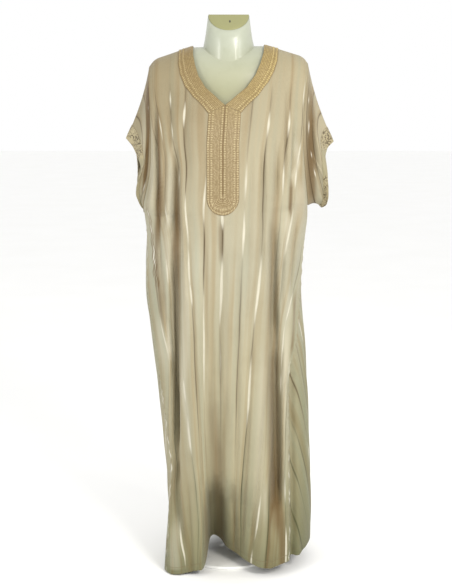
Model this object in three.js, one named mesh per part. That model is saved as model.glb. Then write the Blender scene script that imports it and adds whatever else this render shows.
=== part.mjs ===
// An ankle-length striped djellaba with short sleeves, worn by a limbless dress form on a round stand.
// Millimetres, +Z up, the front faces -Y, and the origin is the centre of the stand's underside.
import * as THREE from 'three';

// driving sizes
const cloth = 2.0;              // thickness of one layer of cloth
const seamGap = 0.4;            // clear space between two pieces where they are sewn
const braid = 1.6;              // height of the braid above the cloth
const cordRise = 0.5;           // how far each cord of the braid stands out in its middle
const braidGap = 0.6;           // clear space under the braid
const braidStart = 0.6;         // distance of the braid's ends from the top of the ridge
const frontDome = 110;          // height over which the front falls from the shoulder ridge to the chest
const backDome = 52;            // the same behind the ridge
const neckHalf = 94;            // half the width of the neck opening on the ridge
const bibHalf = 41.5;           // half the width of the bib
const neckPoint = 217;          // distance down the cloth from the ridge to the point of the V
const bibCorner = 238;          // the same to the upper corners of the bib
const bibPoint = 981;           // height of the bib's lowest point
const bibShoulder = 1026;       // height where the bib's sides start to close to the point
const frontArmEdge = 62;        // depth of the armhole before the shoulder ridge
const backArmEdge = 60;         // depth of the armhole behind it
const armpitMiddle = 985;       // height of the armpits, the mean of both
const armpitTilt = 10;          // the left armpit is lower by twice this
const armSoftening = 165;       // height over which the armhole closes into the side of the skirt
const openTurn = 0.78;          // share of the quarter turn that a panel makes at the armhole
const shoulderTilt = 0.018;     // the right shoulder is a little higher than the left
const hemFoldRise = 0.22;       // rise of the hem for each millimetre that a fold swings in
const seamRadius = 150;         // least distance of a side seam from the form's axis
const shoulderLevel = 1380;     // height where the plan of the shoulders is taken
const hemLevel = 30;            // height where the folds that lift the hem are measured
const foldScale = 175;          // half width of the skirt that the folds' widths are drawn for
const foldEdge = 2.4;           // how squarely a fold's sides drop
const planBlend = 30;           // height over which the plan's rows run into each other
const nudge = 1e-4;             // keeps a sleeve's edge just off the line between front and back
const standBack = 30;           // distance of the post behind the shoulder ridge
const postRadius = 11;
const baseRadius = 145;
const baseHeight = 9;
const formFloor = 752;          // height of the lowest edge of the dress form
const neckTop = 1493;
const neckRadius = 54;          // at the cut
const capDrop = 42;             // the neck's cut falls this much from its middle to the front
const capThickness = 2.5;
const partGap = 0.4;            // clear space between the cap, the neck, the post and the base

// how far the middle of the front has slid to the left below the neck
const middleSlide = { from: 1412, perHeight: 0.06, most: 15 };
// the curve over the shoulder at the sleeves, and the distances from the middle where it changes
const sleeveDome = { front: 62, back: 46, start: 70, reach: 140 };
// the front's slide fades out on the shoulders
const slideFade = { end: 200, reach: 60 };
// how far a sleeve stands off the armhole's edge: everywhere, more at the sides, more at the underarm
const armholeStep = { least: 0.45, side: 0.5, underarm: 1.4 };
// how far a sleeve sags at the top and hollows at the underarm
const sleeveBow = { top: 7, underarm: 8 };
// the cuff's trim: clear space under it, and its height
const cuffBraid = { gap: 1, height: 1.2 };
// space between the form and the cloth: at the ridge, growing with depth and towards the sleeves
const formSpace = { least: 1.75, perDepth: 0.16, perAcross: 0.25, from: 165 };
// half width and half depth of the neck's foot
const neckFoot = { across: 67, depth: 63 };

const cream = 0xd9d7bd;
const beige = 0xc9bf9c;
const golden = 0xcdb07a;
const olive = 0xb9b483;
const white = 0xeeeeea;

// half widths left and right of the form's axis, and depths before and behind the ridge
const sections = [
  { height: 1415, left: 208, right: 208, front: 88, back: 76 },
  { height: 1365, left: 208, right: 208, front: 93, back: 84 },
  { height: 1300, left: 207, right: 200, front: 101, back: 97 },
  { height: 1240, left: 205, right: 195, front: 114, back: 108 },
  { height: 1170, left: 203, right: 194, front: 137, back: 112 },
  { height: 1090, left: 205, right: 200, front: 143, back: 108 },
  { height: 985, left: 231, right: 214, front: 143, back: 110 },
  { height: 945, left: 221, right: 211, front: 144, back: 113 },
  { height: 905, left: 219, right: 205, front: 146, back: 116 },
  { height: 815, left: 225, right: 198, front: 150, back: 122 },
  { height: 745, left: 223, right: 196, front: 153, back: 126 },
  { height: 645, left: 211, right: 208, front: 158, back: 130 },
  { height: 475, left: 193, right: 218, front: 166, back: 136 },
  { height: 265, left: 173, right: 229, front: 175, back: 143 },
  { height: 120, left: 166, right: 233, front: 182, back: 148 },
  { height: 0, left: 164, right: 230, front: 186, back: 150 },
];

// the shoulder ridge from the neck to the sleeve
const ridge = [
  { across: 0, height: 1415 },
  { across: 94, height: 1415 },
  { across: 134, height: 1403 },
  { across: 168, height: 1392 },
  { across: 188, height: 1386 },
  { across: 200, height: 1378 },
  { across: 208, height: 1366 },
  { across: 230, height: 1330 },
];

// the neck opening and the outer edge of the braid round it: distance from the middle of the garment,
// and distance down the cloth from the ridge
const frontNeck = [
  { inner: neckHalf, innerDrop: 0, outer: 131, outerDrop: 0 },
  { inner: 91, innerDrop: 74, outer: 128, outerDrop: 84 },
  { inner: 84, innerDrop: 110, outer: 121, outerDrop: 119 },
  { inner: 73, innerDrop: 142, outer: 107, outerDrop: 156 },
  { inner: 53, innerDrop: 172, outer: 84, outerDrop: 193 },
  { inner: 30, innerDrop: 191, outer: 59, outerDrop: 217 },
  { inner: 11, innerDrop: 208, outer: 47, outerDrop: 231 },
  { inner: 0, innerDrop: neckPoint, outer: bibHalf, outerDrop: bibCorner },
];
const backNeck = [
  { inner: neckHalf, innerDrop: 0, outer: 131, outerDrop: 0 },
  { inner: 92, innerDrop: 18, outer: 128, outerDrop: 28 },
  { inner: 85, innerDrop: 34, outer: 117, outerDrop: 53 },
  { inner: 70, innerDrop: 46, outer: 96, outerDrop: 73 },
  { inner: 45, innerDrop: 53, outer: 60, outerDrop: 87 },
  { inner: 20, innerDrop: 55, outer: 27, outerDrop: 91 },
  { inner: 0, innerDrop: 55, outer: 0, outerDrop: 91 },
];

// how far the side seams have swung to the front, in degrees
const seamSwing = [
  { height: 945, left: 0, right: 0 },
  { height: 885, left: 13, right: 0 },
  { height: 845, left: 13, right: 2 },
  { height: 745, left: 13, right: 13 },
  { height: 610, left: 17, right: 34 },
  { height: 475, left: 23, right: 44 },
  { height: 265, left: 27, right: 47 },
  { height: 0, left: 31, right: 48 },
];

// the hem's height round the skirt, in degrees from the middle front to the right
const hemLine = [
  { degrees: -180, height: 36 },
  { degrees: -120, height: 32 },
  { degrees: -88, height: 14 },
  { degrees: -64, height: 3 },
  { degrees: -52, height: 2 },
  { degrees: -45, height: 8 },
  { degrees: -39, height: 15 },
  { degrees: -32, height: 21 },
  { degrees: 0, height: 24 },
  { degrees: 24, height: 22 },
  { degrees: 28, height: 31 },
  { degrees: 38, height: 37 },
  { degrees: 46, height: 37 },
  { degrees: 53, height: 41 },
  { degrees: 64, height: 52 },
  { degrees: 75, height: 56 },
  { degrees: 90, height: 56 },
  { degrees: 110, height: 52 },
  { degrees: 140, height: 40 },
  { degrees: 180, height: 36 },
];

// folds: place across the form at both ends, heights of the ends, half widths left and right, depths
const frontFolds = [
  { high: -192, low: -188, top: 1290, end: 930, left: 9, right: 10, depthHigh: 10, depthLow: 13 },
  { high: -137, low: -142, top: 1180, end: 870, left: 12, right: 12, depthHigh: 20, depthLow: 27 },
  { high: -140, low: -144, top: 930, end: 300, left: 14, right: 13, depthHigh: 22, depthLow: 52 },
  { high: -147, low: -120, top: 380, end: 60, left: 18, right: 12, depthHigh: 26, depthLow: 36 },
  { high: -136, low: -134, top: 330, end: -160, left: 36, right: 33, depthHigh: -12, depthLow: -68 },
  { high: -30, low: -44, top: 560, end: -200, left: 19, right: 26, depthHigh: 26, depthLow: 50 },
  { high: -52, low: -55, top: 300, end: -260, left: 9, right: 80, depthHigh: 34, depthLow: 235 },
  { high: 116, low: 121, top: 1010, end: 600, left: 14, right: 15, depthHigh: 16, depthLow: 46 },
  { high: 120, low: 132, top: 680, end: 150, left: 16, right: 17, depthHigh: 38, depthLow: 46 },
  { high: 89, low: 88, top: 1195, end: 760, left: 7, right: 7, depthHigh: 7, depthLow: 9 },
  { high: 127, low: 118, top: 1200, end: 960, left: 9, right: 9, depthHigh: 9, depthLow: 14 },
  { high: 78, low: 72, top: 590, end: 120, left: 24, right: 26, depthHigh: -13, depthLow: -10 },
  { high: -92, low: -96, top: 900, end: -60, left: 22, right: 20, depthHigh: -8, depthLow: -13 },
  { high: -24, low: -30, top: 950, end: 470, left: 14, right: 12, depthHigh: 7, depthLow: 20 },
  { high: 44, low: 40, top: 960, end: 420, left: 16, right: 18, depthHigh: -7, depthLow: -9 },
  { high: 168, low: 178, top: 640, end: -60, left: 11, right: 14, depthHigh: 14, depthLow: 22 },
];
const backFolds = [
  { high: -150, low: -128, top: 1120, end: -60, left: 20, right: 17, depthHigh: 14, depthLow: 48 },
  { high: -70, low: -64, top: 960, end: -60, left: 17, right: 21, depthHigh: 12, depthLow: 62 },
  { high: 22, low: 34, top: 1060, end: -60, left: 20, right: 18, depthHigh: 10, depthLow: 40 },
  { high: 96, low: 112, top: 1150, end: -60, left: 16, right: 18, depthHigh: 14, depthLow: 56 },
  { high: 160, low: 176, top: 900, end: -60, left: 14, right: 13, depthHigh: 12, depthLow: 34 },
  { high: -22, low: -14, top: 900, end: 60, left: 24, right: 22, depthHigh: -8, depthLow: -14 },
  { high: 62, low: 76, top: 1000, end: -60, left: 20, right: 19, depthHigh: -6, depthLow: -12 },
];
const foldFade = 110;           // length over which a fold comes and goes

// the edges of the cuffs from the top corner round to the underarm, and their depths
const cuffEdges = {
  right: [
    { round: 0, across: 281, height: 1166 },
    { round: 0.1, across: 262, height: 1150 },
    { round: 0.2, across: 255, height: 1128 },
    { round: 0.4, across: 259, height: 1092 },
    { round: 0.6, across: 264, height: 1055 },
    { round: 0.8, across: 267, height: 1018 },
    { round: 0.92, across: 264, height: 997 },
    { round: 1, across: 252, height: 989 },
  ],
  left: [
    { round: 0, across: -275, height: 1175 },
    { round: 0.1, across: -256, height: 1153 },
    { round: 0.2, across: -248, height: 1130 },
    { round: 0.4, across: -247, height: 1095 },
    { round: 0.6, across: -250, height: 1060 },
    { round: 0.8, across: -248, height: 1022 },
    { round: 0.92, across: -240, height: 1000 },
    { round: 1, across: -231, height: 984 },
  ],
};
const cuffFront = 50;
const cuffBack = 50;
// folds in the sleeves: place from the armhole to the cuff and from the top round to the underarm
const sleeveFolds = [
  { along: 0.38, round: 0.48, reach: 0.22, spread: 0.3, front: 14, back: 11 },
  { along: 0.8, round: 0.34, reach: 0.2, spread: 0.22, front: -6, back: -5 },
  { along: 0.6, round: 0.75, reach: 0.2, spread: 0.14, front: 3, back: 4 },
];
// where the front edge of the left cuff is pushed in and its folds are drawn flat
const cuffNotch = { round: 0.44, spread: 0.24, depth: 10 };

// the dress form below its shoulders
const formSections = [
  { height: 1292, half: 187, front: 86, back: 82 },
  { height: 1240, half: 174, front: 97, back: 93 },
  { height: 1190, half: 164, front: 110, back: 93 },
  { height: 1150, half: 157, front: 112, back: 86 },
  { height: 1090, half: 143, front: 98, back: 77 },
  { height: 1020, half: 130, front: 86, back: 72 },
  { height: 950, half: 140, front: 88, back: 82 },
  { height: 870, half: 160, front: 92, back: 90 },
  { height: 800, half: 168, front: 93, back: 92 },
  { height: formFloor + 8, half: 166, front: 90, back: 90 },
];
const neckRings = [
  { height: 1470, radius: 57 },
  { height: 1448, radius: 60 },
  { height: 1430, radius: 63 },
];

const quarter = Math.PI / 2;
const clamp = (value, low, high) => Math.min(high, Math.max(low, value));
const mix = (from, to, share) => from + (to - from) * share;
const smooth = (value) => {
  const share = clamp(value, 0, 1);
  return share * share * (3 - 2 * share);
};

// value of a column at a key, with straight lines between rows whose keys run one way
function lookUp(rows, key, at, column) {
  const rising = rows[1][key] > rows[0][key];
  let index = 0;
  const past = (row) => (rising ? at > row[key] : at < row[key]);
  while (index < rows.length - 2 && past(rows[index + 1])) index += 1;
  const here = rows[index];
  const next = rows[index + 1];
  return mix(here[column], next[column], clamp((at - here[key]) / (next[key] - here[key]), 0, 1));
}

// the same value averaged over a short stretch, which rounds the corners between rows
function softLookUp(rows, key, at, column, reach) {
  const steps = [-1, -0.5, 0, 0.5, 1];
  const sum = steps.reduce((total, step) => total + lookUp(rows, key, at + step * reach, column), 0);
  return sum / steps.length;
}

const ridgeHeight = (across) => (
  softLookUp(ridge, 'across', Math.abs(across), 'height', 7) + shoulderTilt * across);
const domeHeight = (behind, across) => mix(
  behind ? backDome : frontDome,
  behind ? sleeveDome.back : sleeveDome.front,
  smooth((Math.abs(across) - sleeveDome.start) / sleeveDome.reach));
const centreAt = (height) => (
  -clamp((middleSlide.from - height) * middleSlide.perHeight, 0, middleSlide.most));
const armpitAt = (turn) => armpitMiddle + armpitTilt * Math.sin(turn);

// distance down the cloth from the ridge to a height, and the way back
function dropToHeight(behind, across, drop) {
  const dome = domeHeight(behind, across);
  const top = ridgeHeight(across);
  if (drop < dome * quarter) return top - dome * (1 - Math.cos(drop / dome));
  return top - dome - (drop - dome * quarter);
}
function heightToDrop(behind, across, height) {
  const dome = domeHeight(behind, across);
  const fall = ridgeHeight(across) - height;
  if (fall <= 0) return 0;
  if (fall < dome) return dome * Math.acos(1 - fall / dome);
  return dome * quarter + fall - dome;
}

// plan shape of the garment at a height: centre, half width, depths and how far the panels turn
function planAt(height, turn) {
  const left = softLookUp(sections, 'height', height, 'left', planBlend);
  const right = softLookUp(sections, 'height', height, 'right', planBlend);
  const behind = Math.cos(turn) < 0;
  const armpit = armpitAt(turn);
  const open = smooth((height - armpit) / armSoftening);
  const risen = clamp((height - armpit) / armSoftening, 0, 1);
  const edgeShare = Math.sqrt(1 - (1 - risen) ** 2);
  return {
    centre: (right - left) / 2,
    half: (right + left) / 2,
    depth: softLookUp(sections, 'height', height, behind ? 'back' : 'front', planBlend),
    edge: (behind ? backArmEdge : frontArmEdge) * edgeShare,
    share: mix(1, openTurn, open),
    behind,
  };
}

// how far across a point lies: turn is 0 at the middle front, a quarter at the right side
function acrossAt(height, turn) {
  const plan = planAt(height, turn);
  const local = plan.behind ? Math.PI - turn : turn;
  return plan.centre + plan.half * Math.sin(local * plan.share) / Math.sin(quarter * plan.share);
}
function turnAt(height, across, behind) {
  const plan = planAt(height, behind ? Math.PI : 0);
  const sine = clamp((across - plan.centre) / plan.half, -1, 1) * Math.sin(quarter * plan.share);
  const local = Math.asin(clamp(sine, -1, 1)) / plan.share;
  return behind ? Math.PI - local : local;
}

// how far the folds push the cloth in at a place
function foldPush(height, turn) {
  const local = Math.atan2(Math.sin(turn), Math.cos(turn));
  let push = 0;
  for (const [folds, behind] of [[frontFolds, false], [backFolds, true]]) {
    for (const fold of folds) {
      if (height > fold.top || height < fold.end) continue;
      const share = (fold.top - height) / (fold.top - fold.end);
      const strength = smooth((fold.top - height) / foldFade) * smooth((height - fold.end) / foldFade);
      const middle = turnAt(height, mix(fold.high, fold.low, share), behind);
      let away = local - middle;
      if (away > Math.PI) away -= 2 * Math.PI;
      if (away < -Math.PI) away += 2 * Math.PI;
      const reach = foldScale * away / (away < 0 ? fold.left : fold.right);
      const depth = mix(fold.depthHigh, fold.depthLow, share) * strength;
      push += depth * Math.exp(-(Math.abs(reach) ** foldEdge));
    }
  }
  return push;
}

function hemAt(turn) {
  const degrees = THREE.MathUtils.radToDeg(Math.atan2(Math.sin(turn), Math.cos(turn)));
  return softLookUp(hemLine, 'degrees', degrees, 'height', 6);
}

// a point in the middle of the cloth, by turn round the form and drop from the ridge
function bodyPoint(turn, drop, folded = true) {
  let height = shoulderLevel;
  let across = 0;
  const behind = Math.cos(turn) < 0;
  for (let pass = 0; pass < 6; pass += 1) {
    across = acrossAt(height, turn);
    height = dropToHeight(behind, across, drop);
  }
  const plan = planAt(height, turn);
  const local = behind ? Math.PI - turn : turn;
  const side = Math.cos(quarter * plan.share);
  const bulge = (Math.cos(local * plan.share) - side) / (1 - side);
  const arc = Math.sin(Math.min(quarter, drop / domeHeight(behind, across)));
  const depth = (plan.edge + (plan.depth - plan.edge) * bulge) * arc;
  const point = new THREE.Vector3(across, behind ? depth : -depth, height);
  if (!folded) return point;
  // folds run straight back at the middle and only turn to the plan's own normal at the sides
  const aside = Math.sin(turn) ** 4;
  const outward = new THREE.Vector3(
    aside * (across - plan.centre) / plan.half ** 2, point.y / plan.depth ** 2, 0).normalize();
  return point.addScaledVector(outward, -foldPush(height, turn));
}

// a surface moved along its own normal, worked out inside the limits of its two directions
function lifted(surface, limits, u, v, lift) {
  const stepU = (limits.u1 - limits.u0) * 1e-3;
  const stepV = (limits.v1 - limits.v0) * 1e-3;
  const alongU = surface(clamp(u + stepU, limits.u0, limits.u1), v)
    .sub(surface(clamp(u - stepU, limits.u0, limits.u1), v));
  const alongV = surface(u, clamp(v + stepV, limits.v0, limits.v1))
    .sub(surface(u, clamp(v - stepV, limits.v0, limits.v1)));
  const normal = alongU.cross(alongV).normalize();
  return surface(u, v).addScaledVector(normal, lift * limits.facing);
}

// a closed solid between an outer and an inner sheet of points, open or joined round
function shell(outer, inner, round = false) {
  const rows = outer.length;
  const columns = outer[0].length;
  const positions = [];
  for (const sheet of [outer, inner]) {
    for (const row of sheet) for (const point of row) positions.push(point.x, point.y, point.z);
  }
  const indices = [];
  const quad = (a, b, c, d) => indices.push(a, b, c, a, c, d);
  const at = (layer, row, column) => layer * rows * columns + row * columns + column % columns;
  const spans = round ? columns : columns - 1;
  for (let row = 0; row < rows - 1; row += 1) {
    for (let column = 0; column < spans; column += 1) {
      quad(at(0, row, column), at(0, row + 1, column), at(0, row + 1, column + 1), at(0, row, column + 1));
      quad(at(1, row, column), at(1, row, column + 1), at(1, row + 1, column + 1), at(1, row + 1, column));
    }
  }
  for (let column = 0; column < spans; column += 1) {
    quad(at(0, 0, column), at(0, 0, column + 1), at(1, 0, column + 1), at(1, 0, column));
    const last = rows - 1;
    quad(at(0, last, column), at(1, last, column), at(1, last, column + 1), at(0, last, column + 1));
  }
  if (!round) {
    for (let row = 0; row < rows - 1; row += 1) {
      const last = columns - 1;
      quad(at(0, row, 0), at(1, row, 0), at(1, row + 1, 0), at(0, row + 1, 0));
      quad(at(0, row, last), at(0, row + 1, last), at(1, row + 1, last), at(1, row, last));
    }
  }
  return closedGeometry(positions, indices);
}

// rings of points stacked from one middle point to another
function loft(start, rings, end) {
  const count = rings[0].length;
  const points = [start, ...rings.flat(), end];
  const positions = points.flatMap((point) => [point.x, point.y, point.z]);
  const indices = [];
  const at = (ring, step) => 1 + ring * count + step % count;
  const last = rings.length - 1;
  for (let step = 0; step < count; step += 1) {
    indices.push(0, at(0, step), at(0, step + 1));
    for (let ring = 0; ring < last; ring += 1) {
      indices.push(at(ring, step), at(ring + 1, step), at(ring + 1, step + 1));
      indices.push(at(ring, step), at(ring + 1, step + 1), at(ring, step + 1));
    }
    indices.push(points.length - 1, at(last, step + 1), at(last, step));
  }
  return closedGeometry(positions, indices);
}

// geometry whose faces all point out
function closedGeometry(positions, indices) {
  const corner = (index) => new THREE.Vector3().fromArray(positions, index * 3);
  let volume = 0;
  for (let index = 0; index < indices.length; index += 3) {
    const [a, b, c] = [corner(indices[index]), corner(indices[index + 1]), corner(indices[index + 2])];
    volume += a.dot(b.cross(c));
  }
  if (volume < 0) {
    for (let index = 0; index < indices.length; index += 3) {
      [indices[index], indices[index + 1]] = [indices[index + 1], indices[index]];
    }
  }
  const geometry = new THREE.BufferGeometry();
  geometry.setAttribute('position', new THREE.Float32BufferAttribute(positions, 3));
  geometry.setIndex(indices);
  geometry.computeVertexNormals();
  return geometry;
}

function named(name, geometry, color, roughness) {
  const mesh = new THREE.Mesh(geometry, new THREE.MeshStandardMaterial({ color, roughness, metalness: 0 }));
  mesh.name = name;
  return mesh;
}

// places between 0 and 1, closer together near the given ones
function spaced(count, near) {
  const fine = 600;
  const weights = [];
  for (let step = 0; step < fine; step += 1) {
    const place = (step + 0.5) / fine;
    const weightOf = (spot) => spot.more * Math.exp(-(((place - spot.at) / spot.reach) ** 2));
    weights.push(near.reduce((sum, spot) => sum + weightOf(spot), 1));
  }
  const total = weights.reduce((sum, weight) => sum + weight, 0);
  const places = [0];
  let sum = 0;
  for (let step = 0; step < fine && places.length < count; step += 1) {
    sum += weights[step];
    if (sum >= total * places.length / count) places.push((step + 1) / fine);
  }
  places.push(1);
  return places.slice(0, count).concat(1);
}

const upperRows = 13;
const lowerRows = 9;
const rowShare = (row) => (row / upperRows) ** 1.25;   // rows lie closer together on the shoulder

// the top of a panel, along the ridge and round the neck opening, by share of its length
function topPath(behind) {
  const half = [{ away: 208, drop: 0 }, { away: 150, drop: 0 }];
  for (const row of behind ? backNeck : frontNeck) half.push({ away: row.inner, drop: row.innerDrop });
  const left = half.map((spot) => ({ across: -spot.away, drop: spot.drop }));
  const right = half.slice(0, -1).reverse().map((spot) => ({ across: spot.away, drop: spot.drop }));
  const path = [...left, ...right];
  if (behind) path.reverse();
  const lengths = [0];
  for (let index = 1; index < path.length; index += 1) {
    const [from, to] = [path[index - 1], path[index]];
    lengths.push(lengths[index - 1] + Math.hypot(to.across - from.across, to.drop - from.drop));
  }
  return (share) => {
    const at = clamp(share, 0, 1) * lengths[lengths.length - 1];
    let index = 0;
    while (index < path.length - 2 && at > lengths[index + 1]) index += 1;
    const part = clamp((at - lengths[index]) / (lengths[index + 1] - lengths[index]), 0, 1);
    const away = mix(path[index].across, path[index + 1].across, part);
    const drop = mix(path[index].drop, path[index + 1].drop, part);
    const height = dropToHeight(behind, away, drop);
    const fade = behind ? 0 : smooth((slideFade.end - Math.abs(away)) / slideFade.reach);
    return { turn: turnAt(height, away + centreAt(height) * fade, behind), drop };
  };
}

// a body panel from one side seam to the other, its columns spread evenly along the top edge
// and by the given places lower down
function panel(behind, startTurn, endTurn, places) {
  const top = topPath(behind);
  const inset = seamGap / 2 / seamRadius;
  const last = places.length - 1;
  const lowPlace = (column) => {
    const index = Math.min(last - 1, Math.floor(column));
    return mix(places[index], places[index + 1], column - index);
  };
  const between = (height, column) => (
    mix(startTurn(height) + inset, endTurn(height) - inset, lowPlace(column)));
  const surface = (column, row) => {
    const armpitTurn = between(armpitMiddle + armpitTilt, column);
    if (row <= upperRows) {
      const start = top(column / last);
      const from = startTurn(shoulderLevel) + inset;
      const to = endTurn(shoulderLevel) - inset;
      const turn = start.turn < -quarter / 2 && behind ? start.turn + 2 * Math.PI : start.turn;
      const share = rowShare(row);
      const behindNow = Math.cos(armpitTurn) < 0;
      const low = heightToDrop(behindNow, acrossAt(armpitMiddle, armpitTurn), armpitAt(armpitTurn));
      return bodyPoint(mix(clamp(turn, from, to), armpitTurn, share),
        mix(Math.max(start.drop, seamGap / 2), low, share));
    }
    const share = (row - upperRows) / lowerRows;
    let turn = between(hemLevel, column);
    const hem = hemAt(turn) + hemFoldRise * Math.max(0, foldPush(hemLevel, turn));
    const height = mix(armpitAt(armpitTurn), hem, share);
    turn = between(height, column);
    return bodyPoint(turn, heightToDrop(Math.cos(turn) < 0, acrossAt(height, turn), height));
  };
  const limits = { u0: 0, u1: last, v0: 0, v1: upperRows + lowerRows, facing: -1 };
  const sheet = (lift) => Array.from({ length: upperRows + lowerRows + 1 }, (_, row) => (
    places.map((_place, column) => lifted(surface, limits, column, row, lift))));
  return shell(sheet(cloth / 2), sheet(-cloth / 2));
}

const swing = (height, side) => THREE.MathUtils.degToRad(softLookUp(seamSwing, 'height', height, side, 25));
const leftSeam = (height) => -quarter + swing(height, 'left');
const rightSeam = (height) => quarter - swing(height, 'right');

function frontPanel() {
  const places = spaced(52, [{ at: 0.45, reach: 0.08, more: 1.5 }, { at: 0.17, reach: 0.06, more: 0.8 },
    { at: 0.87, reach: 0.06, more: 0.6 }]);
  return panel(false, leftSeam, rightSeam, places);
}

function backPanel() {
  return panel(true, rightSeam, (height) => 2 * Math.PI + leftSeam(height), spaced(42, []));
}

// a sleeve from its armhole to its cuff, round from the top by the front to the underarm and back
function sleevePoint(side, along, round) {
  const cuff = cuffEdges[side];
  const sideTurn = side === 'right' ? quarter : -quarter;
  const outwards = side === 'right' ? 1 : -1;
  const around = round > 1 ? 2 - round : round;
  const behind = round > 1;
  const turn = behind ? Math.PI - sideTurn + outwards * nudge : sideTurn - outwards * nudge;
  const armpitDrop = heightToDrop(behind, acrossAt(armpitMiddle, turn), armpitAt(sideTurn));
  const start = bodyPoint(turn, armpitDrop * around);
  start.x += outwards * (armholeStep.least + armholeStep.side * Math.sin(Math.PI * around)
    + armholeStep.underarm * around ** 6);
  const angle = Math.PI * around;
  const end = new THREE.Vector3(softLookUp(cuff, 'round', around, 'across', 0.03),
    (behind ? cuffBack : -cuffFront) * Math.sin(angle), softLookUp(cuff, 'round', around, 'height', 0.03));
  const notch = side === 'left' && !behind
    ? Math.exp(-(((around - cuffNotch.round) / cuffNotch.spread) ** 2)) : 0;
  end.x += cuffNotch.depth * notch;
  const point = start.lerp(end, along);
  for (const fold of sleeveFolds) {
    const away = ((along - fold.along) / fold.reach) ** 2 + ((around - fold.round) / fold.spread) ** 2;
    const push = (behind ? -fold.back : fold.front) * Math.exp(-away) * Math.sin(angle);
    point.y += push * smooth(along / 0.12) * (1 - notch);
  }
  point.x -= outwards * sleeveBow.top * Math.sin(Math.PI * along) * (1 - around);
  point.z += sleeveBow.underarm * Math.sin(Math.PI * along) * around;
  return point;
}

function sleeveRows(side, alongPlaces, lift) {
  const limits = { u0: 0, u1: 1, v0: -1, v1: 3, facing: side === 'right' ? 1 : -1 };
  const surface = (along, round) => sleevePoint(side, along, (round + 2) % 2);
  const rounds = Array.from({ length: upperRows + 1 }, (_, row) => rowShare(row));
  const back = rounds.slice(1, -1).reverse().map((round) => 2 - round);
  return alongPlaces.map((along) => [...rounds, ...back].map((round) => (
    lifted(surface, limits, along, round, lift))));
}

const sleevePlaces = [0, 0.13, 0.26, 0.39, 0.52, 0.66, 0.81, 0.905, 1];
const trimPlaces = [0.81, 0.905, 1];

function sleeve(side) {
  return shell(sleeveRows(side, sleevePlaces, cloth / 2), sleeveRows(side, sleevePlaces, -cloth / 2), true);
}

function cuffTrim(side) {
  const bottom = cloth / 2 + cuffBraid.gap;
  const top = bottom + cuffBraid.height;
  return shell(sleeveRows(side, trimPlaces, top), sleeveRows(side, trimPlaces, bottom), true);
}

// a point over the front or back panel, by place across and drop from the ridge
function overBody(behind, across, drop, lift) {
  const surface = (place, down) => bodyPoint(turnAt(dropToHeight(behind, place, down), place, behind), down);
  const limits = { u0: -400, u1: 400, v0: 0, v1: 1400, facing: behind ? 1 : -1 };
  return lifted(surface, limits, across, drop, lift);
}

// cords of the braid lie side by side, and each is raised in its middle
const cordHeight = (share, cords) => cordRise * Math.abs(Math.sin(Math.PI * cords * share));

// a strip of braid on the cloth: place gives where it lies, by row and by share of its width
function braidStrip(behind, rows, cords, place) {
  const strips = 2 * cords;
  const bottom = cloth / 2 + braidGap;
  const sheet = (lift, ridged) => Array.from({ length: rows + 1 }, (_, row) => (
    Array.from({ length: strips + 1 }, (_strip, strip) => {
      const share = strip / strips;
      const spot = place(row / rows, share);
      return overBody(behind, spot.across, spot.drop, lift + (ridged ? cordHeight(share, cords) : 0));
    })));
  return shell(sheet(bottom + braid, true), sheet(bottom, false));
}

// a column of a neck table by the share of the way along the braid's middle line
function alongNeck(rows, along, column) {
  const lengths = [0];
  for (let index = 1; index < rows.length; index += 1) {
    const [from, to] = [rows[index - 1], rows[index]];
    const step = Math.hypot(to.inner - from.inner + to.outer - from.outer,
      to.innerDrop - from.innerDrop + to.outerDrop - from.outerDrop);
    lengths.push(lengths[index - 1] + step);
  }
  const at = clamp(along, 0, 1) * lengths[rows.length - 1];
  let index = 0;
  while (index < rows.length - 2 && at > lengths[index + 1]) index += 1;
  const part = (at - lengths[index]) / (lengths[index + 1] - lengths[index]);
  return mix(rows[index][column], rows[index + 1][column], part);
}

function neckBand(side) {
  const outwards = side === 'right' ? 1 : -1;
  return braidStrip(false, 20, 3, (along, share) => {
    const away = mix(alongNeck(frontNeck, along, 'inner'), alongNeck(frontNeck, along, 'outer'), share);
    const drop = mix(alongNeck(frontNeck, along, 'innerDrop'), alongNeck(frontNeck, along, 'outerDrop'), share);
    const height = dropToHeight(false, away, drop);
    return { across: centreAt(height) + outwards * Math.max(seamGap, away), drop: Math.max(drop, braidStart) };
  });
}

function bib() {
  const dropAt = (height) => heightToDrop(false, 0, height);
  return braidStrip(false, 12, 5, (along, share) => {
    const side = 2 * share - 1;
    const top = mix(neckPoint, bibCorner, Math.abs(side)) + seamGap * 1.6;
    const low = dropAt(mix(bibPoint, bibShoulder, Math.abs(side) ** 1.7));
    const drop = mix(top, low, along);
    return { across: centreAt(dropToHeight(false, 0, drop)) + side * bibHalf, drop };
  });
}

function backNeckBand() {
  return braidStrip(true, 24, 2, (along, share) => {
    const left = along < 0.5;
    const part = left ? 2 * along : 2 - 2 * along;
    const away = mix(alongNeck(backNeck, part, 'inner'), alongNeck(backNeck, part, 'outer'), share);
    const drop = mix(alongNeck(backNeck, part, 'innerDrop'), alongNeck(backNeck, part, 'outerDrop'), share);
    return { across: left ? -away : away, drop: Math.max(drop, braidStart) };
  });
}

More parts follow.
